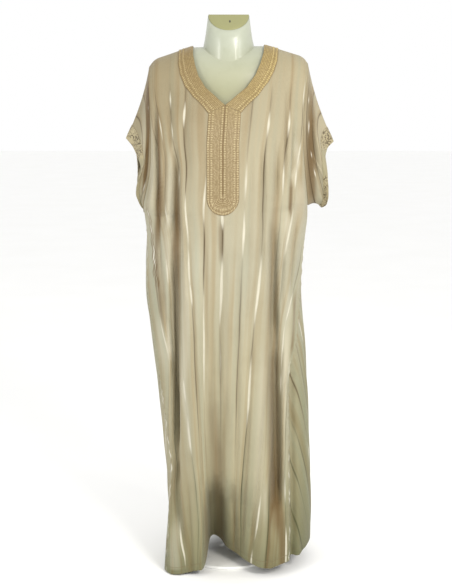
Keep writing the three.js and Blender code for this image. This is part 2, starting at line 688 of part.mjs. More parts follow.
// top of the dress form below the cloth, over a place in plan
function shoulderHeight(across, depth) {
  const behind = depth > 0;
  const turn = turnAt(shoulderLevel, across, behind);
  const plan = planAt(shoulderLevel, turn);
  const side = Math.cos(quarter * plan.share);
  const local = behind ? Math.PI - turn : turn;
  const bulge = Math.max(0, (Math.cos(local * plan.share) - side) / (1 - side));
  const reach = plan.edge + (plan.depth - plan.edge) * bulge;
  const dome = domeHeight(behind, across);
  const share = clamp(Math.abs(depth) / reach, 0, 1);
  const clearance = formSpace.least + formSpace.perDepth * Math.abs(depth)
    + formSpace.perAcross * Math.max(0, Math.abs(across) - formSpace.from);
  return ridgeHeight(across) - dome * (1 - Math.sqrt(1 - share ** 2)) - clearance;
}

const neckCut = (depth) => neckTop + Math.min(0, depth / neckRadius) * capDrop;

function dressForm() {
  const steps = 28;
  const ringOf = (place) => Array.from({ length: steps }, (_, step) => place(2 * Math.PI * step / steps));
  const rings = [];
  rings.push(ringOf((angle) => {
    const depth = -neckRadius * Math.sin(angle);
    return new THREE.Vector3(neckRadius * Math.cos(angle), depth, neckCut(depth));
  }));
  for (const ring of neckRings) {
    rings.push(ringOf((angle) => {
      const depth = -ring.radius * Math.sin(angle);
      const height = Math.min(ring.height, neckCut(depth) - 6 * neckRings.indexOf(ring) - 4);
      return new THREE.Vector3(ring.radius * Math.cos(angle), depth, height);
    }));
  }
  const low = formSections[0];
  // the shoulder follows the cloth from the neck's foot, then rounds down to the first row
  for (const share of [0, 0.15, 0.32, 0.5, 0.68, 0.82, 0.92, 0.975]) {
    rings.push(ringOf((angle) => {
      const reach = angle < Math.PI ? low.front : low.back;
      const across = Math.cos(angle) * mix(neckFoot.across, low.half, share);
      const depth = -Math.sin(angle) * mix(neckFoot.depth, reach, share);
      const field = shoulderHeight(across, depth);
      return new THREE.Vector3(across, depth, low.height + (field - low.height) * (1 - share ** 5) ** 0.35);
    }));
  }
  for (const row of formSections) {
    rings.push(ringOf((angle) => new THREE.Vector3(row.half * Math.cos(angle),
      -Math.sin(angle) * (angle < Math.PI ? row.front : row.back), row.height)));
  }
  const lowest = formSections[formSections.length - 1];
  rings.push(ringOf((angle) => new THREE.Vector3((lowest.half - 8) * Math.cos(angle),
    -Math.sin(angle) * (lowest.front - 8), formFloor)));
  return loft(new THREE.Vector3(0, 0, neckTop), rings, new THREE.Vector3(0, 0, formFloor));
}

// thin plate on the slanted front half of the neck's cut
function neckCap() {
  const steps = 16;
  const radius = neckRadius - 1;
  const outline = [];
  for (let step = 0; step <= steps; step += 1) {
    const angle = Math.PI * step / steps;
    const depth = -radius * Math.sin(angle) - partGap;
    outline.push(new THREE.Vector3(radius * Math.cos(angle), depth, neckCut(depth) + partGap));
  }
  const centreDepth = -20;
  const middle = (lift) => new THREE.Vector3(0, centreDepth, neckCut(centreDepth) + partGap + lift);
  const upper = outline.map((point) => point.clone().add(new THREE.Vector3(0, 0, capThickness)));
  return loft(middle(capThickness), [upper, outline], middle(0));
}

const garment = new THREE.Group();
garment.add(named('front_panel', frontPanel(), beige, 0.6));
garment.add(named('back_panel', backPanel(), beige, 0.6));
for (const side of ['left', 'right']) {
  garment.add(named(`sleeve_${side}`, sleeve(side), beige, 0.6));
  garment.add(named(`cuff_trim_${side}`, cuffTrim(side), golden, 0.7));
  garment.add(named(`neck_band_${side}`, neckBand(side), golden, 0.7));
}
garment.add(named('neck_band_back', backNeckBand(), golden, 0.7));
garment.add(named('bib', bib(), golden, 0.7));
garment.position.y = -standBack;

const form = new THREE.Group();
form.add(named('dress_form', dressForm(), cream, 0.35));
form.add(named('neck_cap', neckCap(), olive, 0.6));
form.position.y = -standBack;

const stand = new THREE.Group();
const base = new THREE.CylinderGeometry(baseRadius - 4, baseRadius, baseHeight, 56).rotateX(quarter);
const baseMesh = named('stand_base', base, white, 0.4);
baseMesh.position.z = baseHeight / 2;
const postLength = formFloor - baseHeight - 2 * partGap;
const post = new THREE.CylinderGeometry(postRadius, postRadius, postLength, 20).rotateX(quarter);
const postMesh = named('stand_post', post, white, 0.3);
postMesh.position.z = baseHeight + partGap + postLength / 2;
stand.add(baseMesh, postMesh);

const djellaba = new THREE.Group();
djellaba.add(garment, form, stand);
export default djellaba;
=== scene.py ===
import math
import bpy
import numpy as np
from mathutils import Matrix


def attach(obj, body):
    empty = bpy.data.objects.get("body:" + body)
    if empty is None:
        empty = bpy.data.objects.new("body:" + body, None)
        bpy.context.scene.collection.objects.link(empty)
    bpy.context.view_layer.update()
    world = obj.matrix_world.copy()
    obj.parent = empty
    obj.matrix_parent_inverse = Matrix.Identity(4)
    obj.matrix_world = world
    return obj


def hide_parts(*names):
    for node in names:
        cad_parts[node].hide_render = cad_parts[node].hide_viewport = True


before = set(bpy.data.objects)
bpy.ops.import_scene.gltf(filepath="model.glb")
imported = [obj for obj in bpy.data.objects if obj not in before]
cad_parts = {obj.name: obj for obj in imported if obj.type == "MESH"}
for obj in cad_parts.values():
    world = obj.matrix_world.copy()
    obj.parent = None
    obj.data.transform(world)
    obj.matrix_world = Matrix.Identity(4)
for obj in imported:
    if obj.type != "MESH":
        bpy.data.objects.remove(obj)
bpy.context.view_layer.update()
rng = np.random.default_rng(7)
scene = bpy.context.scene
quarter = math.pi / 2

# the garment, in millimetres from the form's axis; a column for each side or depth
garment = {
    "frontDome": 110, "backDome": 52, "bibHalf": 41.5, "neckPoint": 217, "bibCorner": 238,
    "bibPoint": 981, "bibShoulder": 1026, "frontArmEdge": 62, "backArmEdge": 60,
    "armpitMiddle": 985, "armpitTilt": 10, "armSoftening": 165, "openTurn": 0.78, "shoulderTilt": 0.018,
    "hemFoldRise": 0.22, "foldFade": 110, "standBack": 30, "layer": 1.3,
    # depth of the round over the ridge towards the sleeves, and where it changes to it
    "frontDomeOut": 62, "backDomeOut": 46, "domeFrom": 70, "domeReach": 140,
    # the middle line of the neck leans to the viewer's left as it goes down, by so much at the most
    "leanTop": 1412, "lean": 0.06, "leanMost": 15,
    # how far each table's corners are rounded: the plan's sections, the ridge, the seams
    "sectionRound": 30, "ridgeRound": 7, "seamRound": 25,
    # folds take their widths on a circle of this radius; the ridge ends at the last number
    "foldRadius": 175, "shoulderEnd": 208,
}
sections = {
    "height": [0, 120, 265, 475, 645, 745, 815, 905, 945, 985, 1090, 1170, 1240, 1300, 1365, 1415],
    "left": [164, 166, 173, 193, 211, 223, 225, 219, 221, 231, 205, 203, 205, 207, 208, 208],
    "right": [230, 233, 229, 218, 208, 196, 198, 205, 211, 214, 200, 194, 195, 200, 208, 208],
    "front": [186, 182, 175, 166, 158, 153, 150, 146, 144, 143, 143, 137, 114, 101, 93, 88],
    "back": [150, 148, 143, 136, 130, 126, 122, 116, 113, 110, 108, 112, 108, 97, 84, 76],
}
ridge = {
    "across": [0, 94, 134, 168, 188, 200, 208, 230],
    "height": [1415, 1415, 1403, 1392, 1386, 1378, 1366, 1330],
}
frontNeck = {
    "inner": [94, 91, 84, 73, 53, 30, 11, 0],
    "innerDrop": [0, 74, 110, 142, 172, 191, 208, 217],
    "outer": [131, 128, 121, 107, 84, 59, 47, 41.5],
    "outerDrop": [0, 84, 119, 156, 193, 217, 231, 238],
}
backNeck = {
    "inner": [94, 92, 85, 70, 45, 20, 0],
    "innerDrop": [0, 18, 34, 46, 53, 55, 55],
    "outer": [131, 128, 117, 96, 60, 27, 0],
    "outerDrop": [0, 28, 53, 73, 87, 91, 91],
}
seamSwing = {
    "height": [0, 265, 475, 610, 745, 845, 885, 945],
    "left": [31, 27, 23, 17, 13, 13, 13, 0],
    "right": [48, 47, 44, 34, 13, 2, 0, 0],
}
hemLine = {
    "degrees": [-180, -120, -88, -64, -52, -45, -39, -32, 0, 24, 28, 38, 46, 53, 64, 75, 90, 110, 140, 180],
    "height": [36, 32, 14, 3, 2, 8, 15, 21, 24, 22, 31, 37, 37, 41, 52, 56, 56, 52, 40, 36],
}
# folds and creases: place across at both ends, heights of the ends, half widths left and right, depths
foldColumns = ("high", "low", "top", "end", "left", "right", "depthHigh", "depthLow")
frontFolds = [
    (-192, -188, 1290, 930, 9, 10, 10, 13), (-137, -142, 1180, 870, 12, 12, 20, 27),
    (-140, -144, 930, 300, 14, 13, 22, 52), (-147, -120, 380, 60, 18, 12, 26, 36),
    (-136, -134, 330, -160, 36, 33, -12, -68), (-30, -44, 560, -200, 19, 26, 26, 50),
    (-52, -55, 300, -260, 9, 98, 34, 235), (116, 121, 1010, 600, 14, 15, 16, 46),
    (120, 132, 680, 150, 16, 17, 38, 46), (89, 88, 1195, 760, 7, 7, 7, 9),
    (127, 118, 1200, 960, 9, 9, 9, 14), (78, 72, 590, 120, 24, 26, -13, -10),
    (-92, -96, 900, -60, 22, 20, -8, -13), (-24, -30, 950, 470, 14, 12, 7, 20),
    (44, 40, 960, 420, 16, 18, -7, -9), (168, 178, 640, -60, 11, 14, 14, 22),
]
backFolds = [
    (-150, -128, 1120, -60, 20, 17, 14, 48), (-70, -64, 960, -60, 17, 21, 12, 62),
    (22, 34, 1060, -60, 20, 18, 10, 40), (96, 112, 1150, -60, 16, 18, 14, 56),
    (160, 176, 900, -60, 14, 13, 12, 34), (-22, -14, 900, 60, 24, 22, -8, -14),
    (62, 76, 1000, -60, 20, 19, -6, -12),
]
frontCreases = [
    (-158, -150, 1330, 1090, 7, 9, 3.5, 5), (-112, -118, 1290, 1120, 6, 8, 3, 4.5),
    (-166, -172, 1180, 900, 5, 7, 4, 6), (-118, -112, 1120, 700, 5, 4, -3, -4),
    (-100, -84, 900, 420, 4, 5, 2.4, 3.6), (-86, -62, 640, 40, 6, 5, 2, 5),
    (-60, -58, 980, 560, 5, 4, 2.2, 3), (-8, -6, 930, 380, 4, 5, 1.8, 2.6),
    (26, 22, 900, 200, 5, 5, 2, 3.2), (60, 50, 1170, 640, 5, 6, 2.2, 3.4),
    (66, 34, 700, 20, 5, 4, 3, 7), (104, 56, 560, 30, 5, 6, 4, 8),
    (150, 146, 1320, 1010, 6, 7, 4, 6.5), (172, 158, 1270, 1000, 5, 8, 4, 6),
    (186, 160, 1010, 720, 5, 6, 4, 7), (148, 140, 960, 520, 6, 5, 4, 6),
    (108, 112, 1330, 1190, 8, 6, 2.5, 3), (-176, -158, 860, 560, 5, 6, 4, 5),
    (-160, -148, 760, 420, 4, 5, 4, 4), (-186, -176, 1000, 760, 5, 5, 5, 5),
    (10, 24, 330, -80, 6, 8, 3, 9), (-108, -92, 300, -60, 6, 5, 2.6, 6),
]
backCreases = [
    (-110, -100, 1300, 700, 6, 8, 3, 5), (-30, -36, 1340, 820, 7, 6, 2.4, 4),
    (48, 52, 1310, 640, 6, 7, 3, 5), (128, 136, 1290, 800, 7, 6, 3, 5),
    (-172, -160, 1180, 500, 6, 7, 4, 6), (-104, -96, 640, -40, 6, 5, 3, 7),
    (2, 6, 620, -40, 5, 7, 3, 8), (66, 74, 560, -40, 6, 5, 3, 7),
    (140, 150, 700, -20, 6, 6, 4, 8), (186, 190, 620, 20, 5, 6, 3, 6),
]
# painted shade along the troughs of the front cloth, and painted highlight along its ridges with a share
# below zero: each point gives its height, place across, half width and share of full strength
frontShades = [
    [(1260, -184, 3, 0), (1200, -184, 5, 0.9), (1100, -183, 7, 1.2), (1040, -183, 9, 1.2),
     (990, -184, 9, 1.2), (940, -187, 6, 0.9), (880, -190, 4, 0.6), (780, -186, 4, 0.5),
     (700, -178, 4, 0.4), (640, -170, 4, 0)],
    [(1130, -134, 4, 0), (1050, -135, 6, 0.6), (990, -135, 8, 0.9), (940, -136, 10, 0.9),
     (890, -139, 10, 0.9), (780, -138, 9, 0.6), (620, -138, 8, 0.45), (520, -140, 6, 0.35),
     (400, -144, 5, 0.25), (220, -147, 5, 0.3), (60, -138, 4, 0)],
    [(1120, 123, 4, 0), (1000, 121, 8, 0.3), (940, 116, 9, 0.4), (830, 120, 10, 0.3),
     (730, 122, 12, 0.25), (620, 124, 13, 0.5), (520, 120, 16, 0.6), (460, 123, 18, 0.6),
     (350, 123, 18, 0.7), (200, 124, 17, 0.9), (120, 128, 12, 0)],
    [(210, 116, 5, 0), (150, 109, 4, 0.7), (90, 107, 5, 0.8), (20, 100, 5, 0.7)],
    [(220, 140, 8, 0), (150, 141, 12, 0.6), (90, 147, 9, 0.7), (20, 145, 6, 0.6)],
    [(560, -46, 10, 0), (460, -42, 13, 0.35), (350, -32, 13, 0.6), (220, -31, 12, 0.5),
     (150, -30, 12, 0.4), (90, -28, 15, 0.4), (40, -26, 20, 0.4)],
    [(1080, 163, 4, 0), (1046, 162, 5, 0.8), (995, 160, 5, 0.9), (960, 166, 4, 0)],
    [(780, 178, 4, 0), (733, 175, 4, 0.6), (681, 173, 4, 0.4), (627, 169, 4, 0.7), (590, 165, 4, 0)],
    [(980, -20, 5, 0), (943, -20, 6, 0.6), (891, -20, 5, 0.6), (850, -22, 4, 0)],
    [(1300, -98, 10, 0), (1250, -108, 10, 0.2), (1120, -104, 12, 0.2), (1000, -102, 10, 0)],
    [(900, -178, 7, 0), (760, -176, 7, 0.4), (660, -174, 7, 0)],
    [(1250, -197, 4, 0), (1173, -202, 6, -0.35), (1100, -201, 7, -0.5), (1046, -199, 7, -0.55),
     (985, -200, 7, -0.35), (930, -200, 5, 0)],
    [(1170, -148, 6, 0), (1120, -149, 8, -0.35), (1060, -151, 9, -0.45), (995, -153, 7, -0.6),
     (965, -156, 5, -0.9), (930, -162, 6, 0)],
    [(940, -164, 8, 0), (900, -162, 8, -0.4), (840, -160, 5, -0.6), (800, -158, 5, 0)],
    [(880, -114, 8, 0), (780, -111, 9, -0.4), (690, -112, 10, -0.45), (600, -116, 10, -0.55),
     (520, -121, 8, -0.6), (430, -108, 6, -0.6), (380, -105, 5, -0.5), (330, -102, 5, 0)],
    [(700, -163, 4, 0), (654, -161, 5, -0.6), (620, -159, 5, -0.9), (580, -157, 4, 0)],
    [(720, -188, 6, 0), (680, -184, 9, -0.4), (600, -176, 12, -0.4), (540, -165, 8, 0)],
    [(200, -134, 8, 0), (119, -131, 7, -0.4), (55, -128, 6, -0.5), (20, -126, 6, -0.4)],
    [(800, 158, 5, 0), (733, 160, 8, -0.6), (690, 153, 8, -0.35), (650, 152, 9, -0.5),
     (574, 153, 8, -0.7), (530, 146, 8, -0.6), (490, 150, 8, -0.5), (400, 150, 9, -0.4),
     (330, 150, 8, -0.35), (240, 148, 6, -0.5), (180, 149, 5, 0)],
    [(660, 88, 8, 0), (574, 90, 10, -0.35), (460, 86, 13, -0.4), (350, 84, 14, -0.35),
     (220, 80, 12, -0.3), (120, 77, 10, 0)],
    [(290, 100, 5, 0), (240, 98, 5, -0.5), (188, 98, 6, -0.4), (140, 98, 5, 0)],
    [(1090, 190, 8, 0), (1040, 190, 9, -0.5), (1000, 187, 9, -0.5), (940, 180, 8, 0)],
    [(1180, 176, 5, 0), (1148, 178, 6, -0.5), (1110, 181, 5, -0.7), (1080, 170, 5, -0.5),
     (1050, 168, 5, 0)],
    [(1000, 152, 6, 0), (960, 153, 6, -0.5), (900, 153, 7, -0.4), (850, 150, 7, 0)],
]
# painted shade and painted highlight on the sleeves in the same way, with the place as the distance from
# the armhole
sleeveShades = {
    "left": [
        [(1340, 2, 4, 0.3), (1282, 3, 5, 1.4), (1198, 6, 4.5, 1.2), (1150, 9, 4.5, 1.3),
         (1080, 11, 5, 1.3), (1030, 8, 4, 0.4)],
        [(1290, 15, 5, 0), (1200, 17, 6, -0.4), (1120, 21, 6, -0.4), (1070, 23, 4, 0)],
    ],
    "right": [
        [(1340, 5, 4, 0), (1290, 12, 8, 0.6), (1223, 20, 11, 0.9), (1117, 17, 13, 1), (1030, 12, 11, 0.9),
         (980, 8, 8, 0.4)],
    ],
}
# small painted highlights on the sleeves: distance from the armhole, place round from the top, reach
sleeveGlints = {
    "left": [(30, 0.3, 0.01), (20, 0.85, 0.02)],
    "right": [(34, 0.27, 0.02), (46, 0.42, 0.025), (40, 0.46, 0.03), (54, 0.74, 0.02), (50, 0.62, 0.015)],
}
cuffEdges = {
    "right": {
        "round": [0, 0.1, 0.2, 0.4, 0.6, 0.8, 0.92, 1],
        "across": [281, 262, 255, 259, 264, 267, 264, 252],
        "height": [1166, 1150, 1128, 1092, 1055, 1018, 997, 989],
    },
    "left": {
        "round": [0, 0.1, 0.2, 0.4, 0.6, 0.8, 0.92, 1],
        "across": [-275, -256, -248, -247, -250, -248, -240, -231],
        "height": [1175, 1153, 1130, 1095, 1060, 1022, 1000, 984],
    },
}
sleeveCloth = {
    "cuffDepth": 50, "notchRound": 0.42, "notchSpread": 0.22, "notchDepth": 17,
    "firstBand": 21, "bandPitch": 58,
    # place from the armhole to the cuff and round from the top, reaches, depths before and behind
    "folds": [(0.38, 0.48, 0.22, 0.3, 14, 11), (0.8, 0.34, 0.2, 0.22, -6, -5),
              (0.6, 0.75, 0.2, 0.14, 3, 4)],
    "creases": [(0.5, 0.2, 0.3, 0.035, 2.5, 2), (0.65, 0.62, 0.3, 0.03, -2.5, 2.5),
                (0.75, 0.88, 0.25, 0.03, 3, -2), (0.3, 0.8, 0.2, 0.04, 3, 3)],
}


def clamp(value, low, high):
    return np.minimum(high, np.maximum(low, value))


def mix(start, end, share):
    return start + (end - start) * share


def smooth(value):
    share = clamp(value, 0, 1)
    return share * share * (3 - 2 * share)


def softLookUp(table, key, at, column, reach):
    # straight lines between a table's rows, averaged over a short stretch to round their corners
    steps = np.linspace(-1, 1, 11) if reach else [0]
    return sum(np.interp(at + step * reach, table[key], table[column]) for step in steps) / len(steps)


def ridgeHeight(across):
    height = softLookUp(ridge, "across", np.abs(across), "height", garment["ridgeRound"])
    return height + garment["shoulderTilt"] * across


def domeHeight(behind, across):
    inner = np.where(behind, garment["backDome"], garment["frontDome"])
    outer = np.where(behind, garment["backDomeOut"], garment["frontDomeOut"])
    return mix(inner, outer, smooth((np.abs(across) - garment["domeFrom"]) / garment["domeReach"]))


def centreAt(height):
    return -clamp((garment["leanTop"] - height) * garment["lean"], 0, garment["leanMost"])


def armpitAt(turn):
    return garment["armpitMiddle"] + garment["armpitTilt"] * np.sin(turn)


def dropToHeight(behind, across, drop):
    # the cloth falls over a quarter round the ridge, then straight down
    dome = domeHeight(behind, across)
    top = ridgeHeight(across)
    over = top - dome * (1 - np.cos(np.minimum(drop / dome, quarter)))
    return np.where(drop < dome * quarter, over, top - dome - (drop - dome * quarter))


def heightToDrop(behind, across, height):
    dome = domeHeight(behind, across)
    fall = np.maximum(0, ridgeHeight(across) - height)
    over = dome * np.arccos(1 - clamp(fall / dome, 0, 1))
    return np.where(fall < dome, over, dome * quarter + fall - dome)


def planAt(height, turn):
    # plan shape at a height: an ellipse whose sides open towards the armholes
    left, right, front, back = (softLookUp(sections, "height", height, key, garment["sectionRound"])
                                for key in ("left", "right", "front", "back"))
    behind = np.cos(turn) < 0
    up = clamp((height - armpitAt(turn)) / garment["armSoftening"], 0, 1)
    edge = np.where(behind, garment["backArmEdge"], garment["frontArmEdge"]) * np.sqrt(1 - (1 - up) ** 2)
    depth = np.where(behind, back, front)
    return {"centre": (right - left) / 2, "half": (right + left) / 2, "depth": depth, "edge": edge,
            "share": mix(1, garment["openTurn"], smooth(up)), "behind": behind}


def acrossAt(height, turn):
    plan = planAt(height, turn)
    local = np.where(plan["behind"], math.pi - turn, turn)
    return plan["centre"] + plan["half"] * np.sin(local * plan["share"]) / np.sin(quarter * plan["share"])


def turnAt(height, across, behind):
    plan = planAt(height, math.pi if behind else 0)
    sine = clamp((across - plan["centre"]) / plan["half"], -1, 1) * np.sin(quarter * plan["share"])
    local = np.arcsin(clamp(sine, -1, 1)) / plan["share"]
    return math.pi - local if behind else local


def foldPush(height, turn, tables):
    # a fold is a soft trough beside a line down the cloth: depth * exp(-(away / half width) ** 2.4)
    local = np.arctan2(np.sin(turn), np.cos(turn))
    fade = garment["foldFade"]
    push = np.zeros_like(local)
    for table, behind in tables:
        for row in table:
            fold = dict(zip(foldColumns, row))
            share = clamp((fold["top"] - height) / (fold["top"] - fold["end"]), 0, 1)
            strength = smooth((fold["top"] - height) / fade) * smooth((height - fold["end"]) / fade)
            middle = turnAt(height, mix(fold["high"], fold["low"], share), behind)
            away = np.mod(local - middle + math.pi, 2 * math.pi) - math.pi
            reach = garment["foldRadius"] * away / np.where(away < 0, fold["left"], fold["right"])
            depth = mix(fold["depthHigh"], fold["depthLow"], share)
            push += depth * strength * np.exp(-np.abs(reach) ** 2.4)
    return push


mainFolds = [(frontFolds, False), (backFolds, True)]
allFolds = mainFolds + [(frontCreases, False), (backCreases, True)]
waves = [(rng.uniform(3, 14), rng.uniform(0.002, 0.012), rng.uniform(0, 6.28), rng.uniform(0.15, 0.4))
         for _ in range(14)]


def ripple(height, turn):
    # low uneven waves all over the cloth: a sum of slanted sines
    return sum(size * np.sin(round(count) * turn + rise * height + start)
               for count, rise, start, size in waves)


def hemAt(turn):
    degrees = np.degrees(np.arctan2(np.sin(turn), np.cos(turn)))
    return softLookUp(hemLine, "degrees", degrees, "height", 6)


def bodyPoint(turn, drop, tables=allFolds, full=False):
    # a point of the cloth by turn round the form and drop from the ridge
    turn, drop = np.broadcast_arrays(np.asarray(turn, float), np.asarray(drop, float))
    behind = np.cos(turn) < 0
    height = np.full(turn.shape, 1300.0)
    for _ in range(6):
        across = acrossAt(height, turn)
        height = dropToHeight(behind, across, drop)
    plan = planAt(height, turn)
    local = np.where(behind, math.pi - turn, turn)
    side = np.cos(quarter * plan["share"])
    bulge = (np.cos(local * plan["share"]) - side) / (1 - side)
    arc = np.sin(np.minimum(quarter, drop / domeHeight(behind, across)))
    depth = (plan["edge"] + (plan["depth"] - plan["edge"]) * bulge) * arc
    point = np.stack([across, np.where(behind, depth, -depth), height], -1)
    push = foldPush(height, turn, tables)
    soft = smooth(drop / 120) * smooth(np.abs(np.abs(np.sin(turn)) - 1) * 40 + np.where(height < 940, 1, 0))
    push = push + ripple(height, turn) * soft
    aside = np.sin(turn) ** 4
    outward = np.stack([aside * (across - plan["centre"]) / plan["half"] ** 2,
                        point[..., 1] / plan["depth"] ** 2, np.zeros_like(across)], -1)
    outward /= np.maximum(1e-12, np.linalg.norm(outward, axis=-1, keepdims=True))
    point = point - outward * push[..., None]
    return (point, push, across) if full else point


def gridNormals(points, closed=False):
    # cross product of the grid's two directions; closed grids run round in their columns
    if closed:
        alongU = np.roll(points, -1, 1) - np.roll(points, 1, 1)
    else:
        alongU = np.gradient(points, axis=1)
    normals = np.cross(alongU, np.gradient(points, axis=0))
    return normals / np.maximum(1e-12, np.linalg.norm(normals, axis=-1, keepdims=True))


def makePiece(name, vertices, faces, material, uv=None, fields=None, sharp=50):
    # vertices in millimetres from the form's axis, faces as rows of four or three indices
    place = np.array(vertices, float).reshape(-1, 3) * 0.001
    mesh = bpy.data.meshes.new(name)
    flat = [np.asarray(group, np.int32) for group in faces if len(group)]
    sizes = np.concatenate([np.full(len(group), group.shape[1], np.int32) for group in flat])
    corners = np.concatenate([group.ravel() for group in flat])
    mesh.vertices.add(len(place))
    mesh.vertices.foreach_set("co", place.ravel().astype(np.float32))
    mesh.loops.add(len(corners))
    mesh.loops.foreach_set("vertex_index", corners)
    mesh.polygons.add(len(sizes))
    mesh.polygons.foreach_set("loop_start", np.concatenate([[0], np.cumsum(sizes)[:-1]]).astype(np.int32))
    mesh.update(calc_edges=True)
    mesh.polygons.foreach_set("use_smooth", np.ones(len(sizes), bool))
    if uv is not None:
        layer = mesh.uv_layers.new(name="cut")
        layer.data.foreach_set("uv", np.asarray(uv, np.float32).ravel())
    for key, values in (fields or {}).items():
        layer = mesh.attributes.new(key, "FLOAT", "POINT")
        layer.data.foreach_set("value", np.asarray(values, np.float32).ravel())
    mesh.validate()
    mesh.set_sharp_from_angle(angle=math.radians(sharp))
    mesh.materials.append(material)
    piece = bpy.data.objects.new(name, mesh)
    scene.collection.objects.link(piece)
    return piece


def shellPiece(name, outer, inner, material, uvGrid=None, fields=None, closed=False, sharp=50):
    # a closed solid between two sheets of points; where closed, the last column joins the first
    rows, columns = outer.shape[:2]
    spans = columns if closed else columns - 1
    row, column = np.meshgrid(np.arange(rows - 1), np.arange(spans), indexing="ij")

    def quads(layer, flip):
        corners = [(row, column), (row, column + 1), (row + 1, column + 1), (row + 1, column)]
        if flip:
            corners = corners[::-1]
        return [(layer, r.ravel(), c.ravel()) for r, c in corners]

    def rim(along, atEnd):
        if along == "row":
            c = np.arange(spans)
            r = np.full(spans, rows - 1 if atEnd else 0)
            corners = [(0, r, c), (0, r, c + 1), (1, r, c + 1), (1, r, c)]
        else:
            r = np.arange(rows - 1)
            c = np.full(rows - 1, columns - 1 if atEnd else 0)
            corners = [(0, r + 1, c), (0, r, c), (1, r, c), (1, r + 1, c)]
        return corners if atEnd else corners[::-1]

    groups = [quads(0, True), quads(1, False), rim("row", False), rim("row", True)]
    if not closed:
        groups += [rim("column", False), rim("column", True)]
    index, uvs = [], []
    for group in groups:
        index.append(np.stack([(layer * rows + r) * columns + c % columns for layer, r, c in group], -1))
        if uvGrid is not None:
            uvs.append(np.stack([uvGrid[r, c] for _, r, c in group], 1).reshape(-1, 2))
    points = np.concatenate([outer.reshape(-1, 3), inner.reshape(-1, 3)])
    a, b, c, d = (points[np.concatenate(index)[:, corner]] for corner in range(4))
    volume = np.einsum("ij,ij->i", a, np.cross(b, c) + np.cross(c, d)).sum()
    if volume < 0:
        index = [group[:, ::-1] for group in index]
        uvs = [group.reshape(-1, 4, 2)[:, ::-1].reshape(-1, 2) for group in uvs]
    doubled = {key: np.tile(values.ravel(), 2) for key, values in (fields or {}).items()}
    points[:, 1] -= garment["standBack"]
    return makePiece(name, points, index, material, np.concatenate(uvs) if uvs else None, doubled, sharp)


def loftPiece(name, rings, material, sharp=40):
    # closed rings of points stacked on each other, each end filled to its middle
    count, steps = rings.shape[:2]
    ring, step = np.meshgrid(np.arange(count - 1), np.arange(steps), indexing="ij")
    at = lambda r, s: (r * steps + s % steps).ravel()
    sides = np.stack([at(ring, step), at(ring + 1, step), at(ring + 1, step + 1), at(ring, step + 1)], -1)
    points = np.concatenate([rings.reshape(-1, 3), rings[:1].mean(1), rings[-1:].mean(1)])
    around = np.arange(steps)
    first = np.stack([np.full(steps, count * steps), around, (around + 1) % steps], -1)
    last = (count - 1) * steps
    final = np.stack([np.full(steps, count * steps + 1), last + (around + 1) % steps, last + around], -1)
    a, b, c = (points[sides[:, corner]] for corner in range(3))
    if np.einsum("ij,ij->i", a, np.cross(b, c)).sum() < 0:
        sides, first, final = sides[:, ::-1], first[:, ::-1], final[:, ::-1]
    return makePiece(name, points, [sides, first, final], material, sharp=sharp)


def tell(piece, node):
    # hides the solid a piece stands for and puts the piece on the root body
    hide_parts(node)
    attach(piece, "root")
    return piece


class Socket:
    # a node's output that works in Python sums
    def __init__(self, tree, link):
        self.tree = tree
        self.link = link

    def sum(self, operation, other, swap=False):
        node = self.tree.nodes.new("ShaderNodeMath")
        node.operation = operation
        for slot, value in zip(node.inputs, [other, self] if swap else [self, other]):
            putIn(self.tree, slot, value)
        return Socket(self.tree, node.outputs[0])

    def __add__(self, other):
        return self.sum("ADD", other)

    def __sub__(self, other):
        return self.sum("SUBTRACT", other)

    def __rsub__(self, other):
        return self.sum("SUBTRACT", other, True)

    def __mul__(self, other):
        return self.sum("MULTIPLY", other)

    def __truediv__(self, other):
        return self.sum("DIVIDE", other)

    def __abs__(self):
        return self.sum("ABSOLUTE", 0)

    def above(self, edge, softness):
        # 0 below the edge, 1 above it, with a soft step between
        return ((self - (edge - softness / 2)) / softness).held()

    def held(self):
        return self.sum("MAXIMUM", 0).sum("MINIMUM", 1)

    __radd__ = __add__
    __rmul__ = __mul__


def putIn(tree, slot, value):
    if isinstance(value, Socket):
        tree.links.new(value.link, slot)
    elif isinstance(value, (tuple, list)) and len(value) == 3 and slot.type == "RGBA":
        slot.default_value = (*value, 1)
    else:
        slot.default_value = value


def linear(red, green, blue):
    # a colour as seen on a screen, 0 to 255, in the renderer's own light values
    return tuple(((part / 255 + 0.055) / 1.055) ** 2.4 if part > 10 else part / 3294
                 for part in (red, green, blue))


